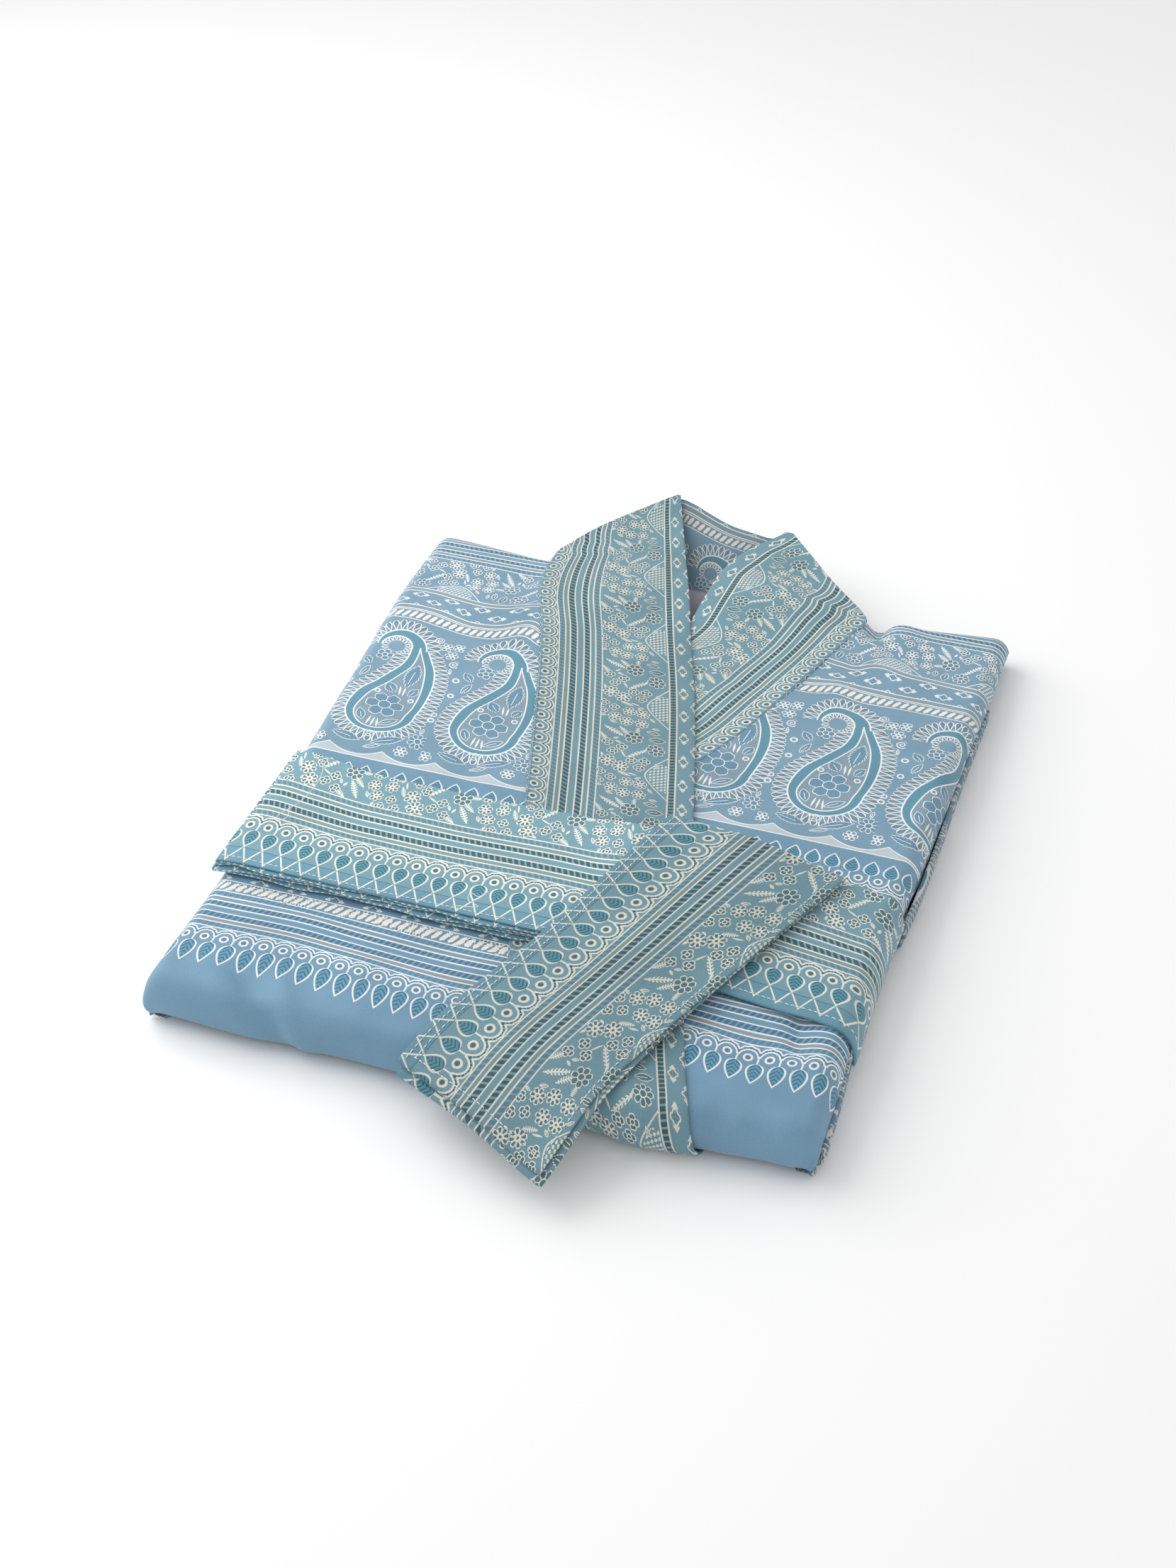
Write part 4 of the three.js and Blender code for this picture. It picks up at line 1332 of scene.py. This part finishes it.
def stripes(t, out, u, e, ink):
    """Bands of dashes and of plain cloth between lines."""
    rows = [(4, 0, 0, 0)]
    for at, sage, dash in STRIPE_BANDS:
        rows += [(at - LINE, 1, 0, 0), (at + LINE, 0, sage, dash)]
    line, sage, dash, _ = t.table(e, 4, 36, rows, smooth=False)
    inside = t.between(e, 5, 35)
    out = t.paint(out, ink["sage"], sage * inside)
    bar = t.near(t.wrap(u - e * 0.5, DASH_PERIOD), 0, 1.0)
    out = t.paint(out, ink["slate"], t.both(bar, t.above(dash, 0.25)) * inside)
    out = t.paint(out, ink["dark"], t.both(bar, t.above(dash, 0.75)) * inside)
    return t.paint(out, ink["line"], line * inside)


def sash(t, out, u, e, ink):
    """The dashed stripe past the sprigs."""
    bar = t.near(t.wrap(u + e * 0.3, 2.54), 0, 0.85)
    out = t.paint(out, ink["sash"], t.near(e, SASH_AT, 1.6))
    out = t.paint(out, ink["dash"], t.both(bar, t.near(e, SASH_AT, 1.5)))
    return t.paint(out, ink["line"], t.near(abs(e - SASH_AT), SASH_EDGE, LINE))


def diamonds(t, out, u, e, ink):
    """Four-pointed stars with leafy ends, in rows set half a repeat apart."""
    over = abs(t.wrap(e - DIAMONDS_AT, DIAMOND_ROWS))
    shift = t.below(over, 3.1)
    along = abs(t.wrap(u + shift * RING_PERIOD, 2 * RING_PERIOD))
    up = abs(t.choose(DIAMOND_ROWS / 2 - over, over, shift))
    square = along * 0.8 + up
    lobe = square - abs(t.wrap(along - up, 2.6)) * 0.35
    tip = t.both(t.below(along + up * 1.4, 5.4), t.above(along, 2.9))
    figure = t.either(t.near(lobe, 2.35, LINE), tip)
    seed = t.both(t.near(along, 0.75, 0.4), t.near(up, 0.75, 0.4))
    zone = t.near(e, 82, 8.4)
    out = t.paint(out, ink["oval"], t.both(seed, zone))
    return t.paint(out, ink["line"], t.both(figure, zone))


def beside_drop(t, u):
    """The distance along the border from the middle of the nearest drop."""
    return abs(t.wrap(u + RING_PERIOD / 2, RING_PERIOD))


def rings(t, out, u, e, ink):
    """Rings between scallops, with ticks along each scallop and a bar down to each drop."""
    across = t.wrap(u, RING_PERIOD)
    far = t.math("SQRT", across * across + e * e)
    out = t.paint(out, ink["line"], t.near(far, 1.9, 0.5))
    out = t.paint(out, ink["dot"], t.below(far, 1.1))
    upper = t.above(e, 0.6)
    turn = t.math("ARCTAN2", across, e)
    arc = t.either(t.near(far, 4.6, LINE), t.near(far + abs(t.wrap(turn, 0.55)) * 1.4, 6.5, LINE))
    bar = t.both(t.below(beside_drop(t, u), LINE), t.near(e, -1.0, 2.5))
    arc = t.either(t.both(arc, upper), bar)
    ticks = t.both(t.near(far, 5.4, LINE), t.near(t.wrap(turn, 0.27), 0, 0.085))
    out = t.paint(out, ink["dark"], ticks * upper)
    return t.paint(out, ink["line"], t.both(arc, t.above(e, -3.4)))


def drops(t, out, u, e, ink, lattice):
    """Ribbed drops under the scallops' ends, and below them on the bands a lattice of lines."""
    from_drop = beside_drop(t, u)
    q = (DROP_TOP - e) / DROP_LENGTH
    q = t.both(t.either(q, 0), 1)
    half = t.math("SQRT", q) * (1 - q) * 10.4
    edge = from_drop - half
    low = t.near(e, -8.9, 5.5)
    inside = t.below(edge, -1.0)
    out = t.paint(out, ink["drop"], t.both(inside, low))
    rib = t.above(t.wrap(e + from_drop * 0.8, 2.1), 0.25)
    out = t.paint(out, ink["chevron"], t.both(rib, inside) * low)
    out = t.paint(out, ink["line"], t.both(t.near(edge, -0.2, 0.45), low))
    if lattice:
        cross = t.near(from_drop - (DROP_TIP - e) * 0.565, 0, 0.45)
        out = t.paint(out, ink["line"], t.both(cross, t.below(e, -14.2)))
        out = t.paint(out, ink["chevron"], t.near(e, -15, 0.28) * 0.6)
    return out


def sprigs(t, out, u, e, ink):
    """Flowers and leaves past the stripes, with a honeycomb wedge under a curved line."""
    w = e - SPRIGS_FROM
    zone = t.near(w, 18.5, 18.6)
    x = t.wrap(u + 1.5, REPEAT)
    local, best = nearest_motif(t, t.point(x, w), motifs(SPRIG_ROUND, SPRIG_LEAVES))
    drawn, fill = drawn_motif(t, local, best)
    bend = abs(x - 9.0)
    curve = 25.2 + bend * bend / (bend + 9)
    comb = t.between(w, curve + 1.2, 36.5) * t.below(bend, 11.5)
    cell = abs(t.wrap(x + w * 0.5, 2.4)) + abs(t.wrap(w, 2.0))
    fresh = t.above(best, 1)
    out = t.paint(out, ink["line"], t.both(t.both(comb, t.below(cell, 0.95)), zone) * fresh)
    out = t.paint(out, ink["line"], t.both(t.near(w, curve, 0.4), zone) * t.below(abs(x - 8.0), 19) * fresh)
    out = t.paint(out, ink["oval"], t.both(fill, zone))
    return t.paint(out, ink["line"], t.both(drawn, zone))


def border_print(t, ground, u, e, ink, lattice):
    """The border: drops and rings, stripes, sprigs, and small diamonds, at the distance e from the rings."""
    out = ground
    for part in (stripes, sash, diamonds, rings):
        out = part(t, out, u, e, ink)
    return sprigs(t, drops(t, out, u, e, ink, lattice), u, e, ink)


OUTER_BODY = [
    # y    middle half width
    (-9.5, -1.3, 20.0),
    (-2.0, -0.2, 20.3),
    (8.0, 2.0, 19.4),
    (20.5, 6.0, 15.5),
    (33.0, 8.6, 10.4),
    (43.0, 7.4, 7.0),
    (50.0, 5.6, 5.4),
    (54.0, 4.9, 4.6),
]
INNER_FIELD = [
    (-11.0, -1.5, 14.6),
    (-4.5, 0.0, 14.8),
    (8.0, 2.8, 13.4),
    (20.5, 6.6, 9.0),
    (33.0, 8.8, 4.4),
    (43.0, 7.4, 1.7),
    (52.0, 5.2, 0.0),
]
PETAL_PITCH = 4.1
MIDDLE_SHIFT, MIDDLE_SPAN, WIDTH_SPAN = 4, 16, 24
ROUND_BELOW, TIP_FROM, FIELD_TOP = -9.5, 50.5, 53


def petal_row(t, far, along, pitch, long, wide):
    """Looped petals side by side: the lines and the insides, from the distance to their feet."""
    q = far / long
    cap = (t.either(q, 0.62) - 0.62) / 0.38
    half = t.both(0.35 + q * wide * 1.25, t.math("SQRT", t.either(1 - cap * cap, 0)) * wide)
    side = abs(t.wrap(along, pitch)) - half
    zone = t.between(far, 0, long)
    return t.both(t.near(side, -0.1, 0.34), zone), t.both(t.below(side, -0.4), zone)


def paisley_print(t, ground, x, y, ink):
    """A drop with a curled tip, fringed with petals, filled with a flower, and small sprigs between."""
    low, high = -12, 56
    # middles and half widths, brought between 0 and 1 for the table
    columns = [
        (through(rows, k), more, size)
        for rows in (OUTER_BODY, INNER_FIELD)
        for k, more, size in ((1, MIDDLE_SHIFT, MIDDLE_SPAN), (2, 0, WIDTH_SPAN))
    ]
    stops = [
        (at, *[(float(curve(at)) + more) / size for curve, more, size in columns])
        for at in np.linspace(low, high, 24)
    ]
    middle, wide, inner_middle, inner_wide = t.table(y, low, high, stops)
    side = x - (middle * MIDDLE_SPAN - MIDDLE_SHIFT)
    below = y - t.either(y, ROUND_BELOW)
    body = t.math("SQRT", side * side + below * below) - wide * WIDTH_SPAN
    # the curled tip
    cx, cy = x + 9, y - TIP_FROM
    round_tip = t.math("SQRT", cx * cx + cy * cy)
    turn = t.math("ARCTAN2", cy, cx)
    tube = 4.5 - turn * 1.05
    curl = abs(round_tip - (9.2 + tube)) - tube
    top = t.above(y, TIP_FROM)
    edge = t.choose(body, curl, top)
    # fringe
    corner = t.both(t.math("ARCTAN2", abs(side), ROUND_BELOW - y), math.pi / 2)
    along = t.choose(corner * 24 + t.either(y - ROUND_BELOW, 0) * 1.1, turn * 19.3, top)
    loops, hollow = petal_row(t, edge - 0.4, along, PETAL_PITCH, 8.2, 1.75)
    hook = t.both(t.both(t.near(y, 57, 12), t.near(cx, 1, 10)), t.below(round_tip, 9.2))
    small, small_hollow = petal_row(t, 8.9 - round_tip, turn * 8.4, 2.9, 3.9, 1.15)
    loops = t.choose(loops, small, hook)
    hollow = t.choose(hollow, small_hollow, hook)
    out = t.paint(ground, ink["petal"], hollow)
    out = t.paint(out, ink["line"], loops)
    # the drop's border and field
    inner_below = y - t.either(y, -11)
    inner_side = x - (inner_middle * MIDDLE_SPAN - MIDDLE_SHIFT)
    inner = t.math("SQRT", inner_side * inner_side + inner_below * inner_below) - inner_wide * WIDTH_SPAN
    field = t.both(t.below(inner, 0), t.below(y, FIELD_TOP))
    rib = t.math("SINE", (y - abs(side) * 0.25) * 5.2) * 0.5 + 0.5
    out = t.paint(out, t.paint(ink["tube"], ink["tube_rib"], rib * 0.5), t.below(edge, 0))
    out = t.paint(out, ink["field"], field)
    local, best = nearest_motif(t, t.point(x, y), motifs(PAISLEY_ROUND, PAISLEY_LEAVES))
    drawn, fill = drawn_motif(t, local, best)
    hatch = t.above(t.wrap(x + y * 0.8, 0.9), 0)
    out = t.paint(out, t.paint(ink["fill"], ink["fill_rib"], hatch), fill)
    rim = t.either(t.near(edge, 0, 0.5), t.both(t.near(inner, 0, LINE), t.below(y, FIELD_TOP)))
    out = t.paint(out, ink["line"], rim)
    return t.paint(out, ink["line"], drawn)


def rope_print(t, base, u, v, centre, ink):
    """A rope: slanted white bars with thin lines between, and a line above and below."""
    across = v - centre
    zone = t.near(across, 0, 3.3)
    bar = t.wrap(u - across * 0.5, REPEAT / 14)
    out = t.paint(base, ink["rope_line"], t.both(t.near(abs(bar), 2.18, 0.28), zone))
    round_end = abs(bar) + t.either(abs(across) - 1.9, 0)
    return t.paint(out, ink["rope"], t.below(round_end, 1.3) * zone)


HEM_RINGS, LOWER_RINGS, PLAIN_FROM = -203, -71, -52
ROPES = (79.8, -166.6)
UPPER_SASH = 86.9


def body_print(t, u, v, ink):
    """The body's whole print from the shoulder to the hem, by the distance v from the paisleys' middle."""
    x = t.wrap(u, REPEAT)
    out = t.paint(ink["ground"], ink["plain"], t.below(v, PLAIN_FROM))
    # distances from the three borders' rings
    hem = v - HEM_RINGS
    stretched = t.choose(hem, (hem - DROP_TOP) * 0.76 + DROP_TOP, t.below(hem, DROP_TOP))
    e = t.choose(LOWER_RINGS - v, stretched, t.below(v, -162.5))
    e = t.choose(e, SPRIGS_FROM + (150 - v) * 0.926, t.above(v, 80))
    bordered = t.either(t.above(v, 88), t.below(v, PLAIN_FROM))
    with_border = border_print(t, out, u, e, ink, False)
    out = t.paint(out, with_border, bordered)
    with_paisley = paisley_print(t, out, x, v, ink)
    out = t.paint(out, with_paisley, t.near(v, 14.5, 62))
    # hatched hills under the paisleys
    hump = t.both(abs(t.wrap(u - 9.7, REPEAT / 2)) / 14.5, 1)
    crest = (1 - hump) * (1 - hump) * 5.6 - 49.2
    hill = t.between(v, -51.4, crest)
    hatch = t.above(t.wrap(u * 0.8 + v, 1.15), 0.05)
    out = t.paint(out, ink["line"], hill * (0.25 + hatch * 0.6))
    out = t.paint(out, ink["line"], t.either(t.near(v, -51.2, 0.4), t.near(v, crest, 0.4)))
    # ropes and double lines
    out = t.paint(out, ink["sash"], t.near(v, UPPER_SASH, 1.8))
    out = t.paint(out, ink["line"], t.near(abs(v - UPPER_SASH), SASH_EDGE, 0.4))
    for centre in ROPES:
        out = rope_print(t, out, u, v, centre, ink)
    return t.paint(out, ink["line"], t.either(t.near(v, -162.6, 0.35), t.near(abs(v - ROPES[0]), 3.9, 0.3)))


def finish_cloth(t, shade, u, v, strength, roughness):
    """Twill weave, colour lighter and darker in broad patches and fine grain and scaled by strength to paint
    light or shade, and a soft sheen over a print, on the material's own surface node.
    """
    place = t.point(u, v)
    wide = t.noise(place, 0.03, 3.0)
    fine = t.noise(place, 1.7, 2.0)
    weave = t.math("SINE", (u + v * 1.6) * 7.4) * t.math("SINE", (u - v) * 5.1)
    light = (wide - 0.5) * 0.32 + (fine - 0.5) * 0.42 + weave * 0.07 + strength
    grey = Value(t, t.add("ShaderNodeCombineColor", {}, {0: light, 1: light, 2: light}).outputs[0])
    settings = {"data_type": "RGBA", "blend_type": "MULTIPLY"}
    dyed = Value(t, t.add("ShaderNodeMix", settings, {0: 1.0, 6: shade, 7: grey}).outputs[2])
    return t.finish({
        "Base Color": dyed,
        "Roughness": roughness + (fine - 0.5) * 0.2,
        "Normal": t.bump(weave * 0.5 + fine, 0.35, 0.00025),
        "Sheen Weight": 0.2,
        "Sheen Roughness": 0.4,
        "Specular IOR Level": 0.35,
    })


BAND_INK = {
    "ground": "#79a2b0",
    "low_ground": "#6b9bae",
    "line": "#edecdf",
    "sage": "#839fa2",
    "slate": "#638b9a",
    "dark": "#3b606a",
    "sash": "#86abae",
    "dash": "#3b606a",
    "oval": "#567e89",
    "dot": "#5d6a60",
    "drop": "#5599ab",
    "chevron": "#3b6373",
}
BODY_INK = {
    "ground": "#7c9fb5",
    "plain": "#749cb6",
    "line": "#eef0ef",
    "sage": "#929fa8",
    "slate": "#5c8ba6",
    "dark": "#497896",
    "sash": "#8a9faa",
    "dash": "#8a9faa",
    "oval": "#668799",
    "dot": "#6d818a",
    "drop": "#609cb6",
    "chevron": "#3f6e8a",
    "petal": "#728c9b",
    "tube": "#6097ab",
    "tube_rib": "#558aa1",
    "field": "#859ead",
    "fill": "#7099b1",
    "fill_rib": "#5f8ba6",
    "rope": "#f0efe9",
    "rope_line": "#8f8f8a",
}


def band_cloth(name, strength):
    """The neck band's and belt's cloth, all border, its colour scaled by strength to paint light or shade on
    a piece.
    """
    t = Tree(name)
    u, e = t.cloth()
    ink = {use: colour(code) for use, code in BAND_INK.items()}
    ground = t.paint(ink["ground"], ink["low_ground"], t.below(e, -15))
    return finish_cloth(t, border_print(t, ground, u, e, ink, True), u, e, strength, 0.62)


def body_cloth(name, strength):
    """The printed body, its colour scaled by strength, which paints shade on the pieces that lie in shade."""
    t = Tree(name)
    u, v = t.cloth()
    ink = {use: colour(code) for use, code in BODY_INK.items()}
    return finish_cloth(t, body_print(t, u, v, ink), u, v, strength, 0.6)


def label_cloth():
    """The blank label's ribbed satin, with darker woven edges."""
    t = Tree("label_satin")
    u, v = t.cloth()
    edge = t.either(abs(u / LABEL_WIDTH - 0.5), abs(v / LABEL_DEPTH - 0.5))
    shade = t.paint(colour("#a9a8b8"), colour("#8f8fa3"), t.above(edge, 0.46) * 0.6)
    return finish_cloth(t, shade, u * 1.6, v * 1.6, 1.0, 0.5)


def thread_cotton(name, code):
    """Twisted sewing thread."""
    t = Tree(name)
    place = Value(t, t.add("ShaderNodeTexCoord", {}, {}).outputs["Object"])
    twist = t.noise(place, 2600.0, 1.0)
    return t.finish({
        "Base Color": t.paint(colour(code), colour("#9fb0bb"), (twist - 0.35) * 0.8),
        "Roughness": 0.7,
        "Normal": t.bump(twist, 0.4, 0.0001),
    })


white_thread, blue_thread = thread_cotton("white_thread", "#eceae2"), thread_cotton("blue_thread", "#8fb0cc")
for node, rows in threads.items():
    for row in rows:
        row.data.materials.append(blue_thread if "seam" in row.name else white_thread)

# What shows of each sheet: width and length in metres, its flat area where that isn't a rectangle, and
# what it rests on.
SHEETS = {
    "front_left": (0.210, 0.467, 0.0610, ["folded_layers"]),
    "front_right": (0.162, 0.466, 0.0530, ["folded_layers"]),
    "neck_band_left": (0.088, 0.517, None, ["front_right_cloth", "neck_band_right_cloth", "folded_layers"]),
    "neck_band_right": (0.088, 0.257, 0.0160, ["folded_layers"]),
    "neck_band_back": (0.047, 0.172, 0.0061, ["folded_layers"]),
    "back_neck_facing": (0.093, 0.171, 0.0121, ["neck_band_back_cloth"]),
    "neck_label": (0.038, 0.022, None, ["back_neck_facing_cloth"]),
    "sleeve_right": (0.024, 0.192, 0.0040, ["folded_layers"]),
    "skirt_side_right": (0.019, 0.063, None, ["folded_layers"]),
    "sleeve_left": (0.022, 0.272, 0.0046, ["folded_layers"]),
    "belt_stack": (0.090, 1.050, None, ["front_left_cloth", "neck_band_left_cloth"]),
    "belt_right": (0.092, 0.126, None, ["front_right_cloth"]),
    "belt_end": (0.090, 0.430, None, ["belt_stack_cloth", "belt_right_cloth", "neck_band_left_cloth"]),
}
for node, (width, length, area, under) in SHEETS.items():
    held = "laid" if node == "neck_label" else "folded"
    sewn = threads.get(node, [])
    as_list(sewn)

# Lit and shaded copies of one cloth: strength scales the colour to paint light or shade by where a piece
# lies. The belt's stack is lit at full strength, and painted shade falls on the fronts (0.93), the right
# bands (0.88), the left and back neck bands and the belt's end (0.74), and the hidden layers and the back
# neck's inside (0.62).
SHADED_BANDS = ("neck_band_left", "neck_band_back", "belt_end")
RIGHT_BANDS = ("neck_band_right", "belt_right")
FRONTS = ("front_left", "front_right")
HIDDEN = ("folded_core", "sleeve_right", "skirt_side_right", "sleeve_left", "back_neck_facing")
for slot, names, material in (
    ("band_cloth", ("belt_stack",), band_cloth("printed_band_painted_light", 1.0)),
    ("band_cloth", RIGHT_BANDS, band_cloth("printed_band", 0.88)),
    ("band_cloth", SHADED_BANDS, band_cloth("printed_band_painted_shade", 0.74)),
    ("body_cloth", FRONTS, body_cloth("printed_body", 0.93)),
    # painted shade: the hidden layers, the side layers and the back neck's inside at 0.62 of the cloth's
    # colour
    ("inner_cloth", HIDDEN, body_cloth("printed_inside_painted_shade", 0.62)),
    ("label_cloth", ("neck_label",), label_cloth()),
):
    for name in names:
        cloth[name].data.materials.append(material)


# ---- floor, light and camera ---------------------------------------------------------------------
def studio():
    """A pale floor, one large soft light high on the left and behind, and a plain white surrounding."""
    mesh = bpy.data.meshes.new("floor")
    half = 6.0
    corners = [(-half, -half, 0), (half, -half, 0), (half, half, 0), (-half, half, 0)]
    mesh.from_pydata(corners, [], [(0, 1, 2, 3)])
    floor = bpy.data.objects.new("floor", mesh)
    bpy.context.scene.collection.objects.link(floor)
    paper = bpy.data.materials.new("floor_paper")
    paper.use_nodes = True
    surface = paper.node_tree.nodes["Principled BSDF"]
    surface.inputs["Base Color"].default_value = (0.96, 0.96, 0.96, 1)
    surface.inputs["Roughness"].default_value = 0.9
    mesh.materials.append(paper)

    lamp = bpy.data.lights.new("softbox", "AREA")
    lamp.shape = "RECTANGLE"
    lamp.size, lamp.size_y = 1.1, 1.1
    lamp.energy = 8.5
    box = bpy.data.objects.new("softbox", lamp)
    box.location = (-0.82, 0.12, 0.68)
    box.rotation_euler = Vector(box.location).to_track_quat("Z", "Y").to_euler()
    bpy.context.scene.collection.objects.link(box)

    world = bpy.data.worlds.new("studio")
    world.use_nodes = True
    world.node_tree.nodes["Background"].inputs["Color"].default_value = (1, 1, 1, 1)
    world.node_tree.nodes["Background"].inputs["Strength"].default_value = 0.78
    bpy.context.scene.world = world

    lens = bpy.data.cameras.new("camera")
    lens.lens = 52.08
    lens.clip_start, lens.clip_end = 0.05, 50
    camera = bpy.data.objects.new("camera", lens)
    camera.location = (0.28051, -0.88207, 0.79054)
    camera.rotation_euler = (math.radians(50.5), 0, math.radians(18.35))
    bpy.context.scene.collection.objects.link(camera)
    bpy.context.scene.camera = camera
    bpy.context.scene.view_settings.view_transform = "Standard"


studio()
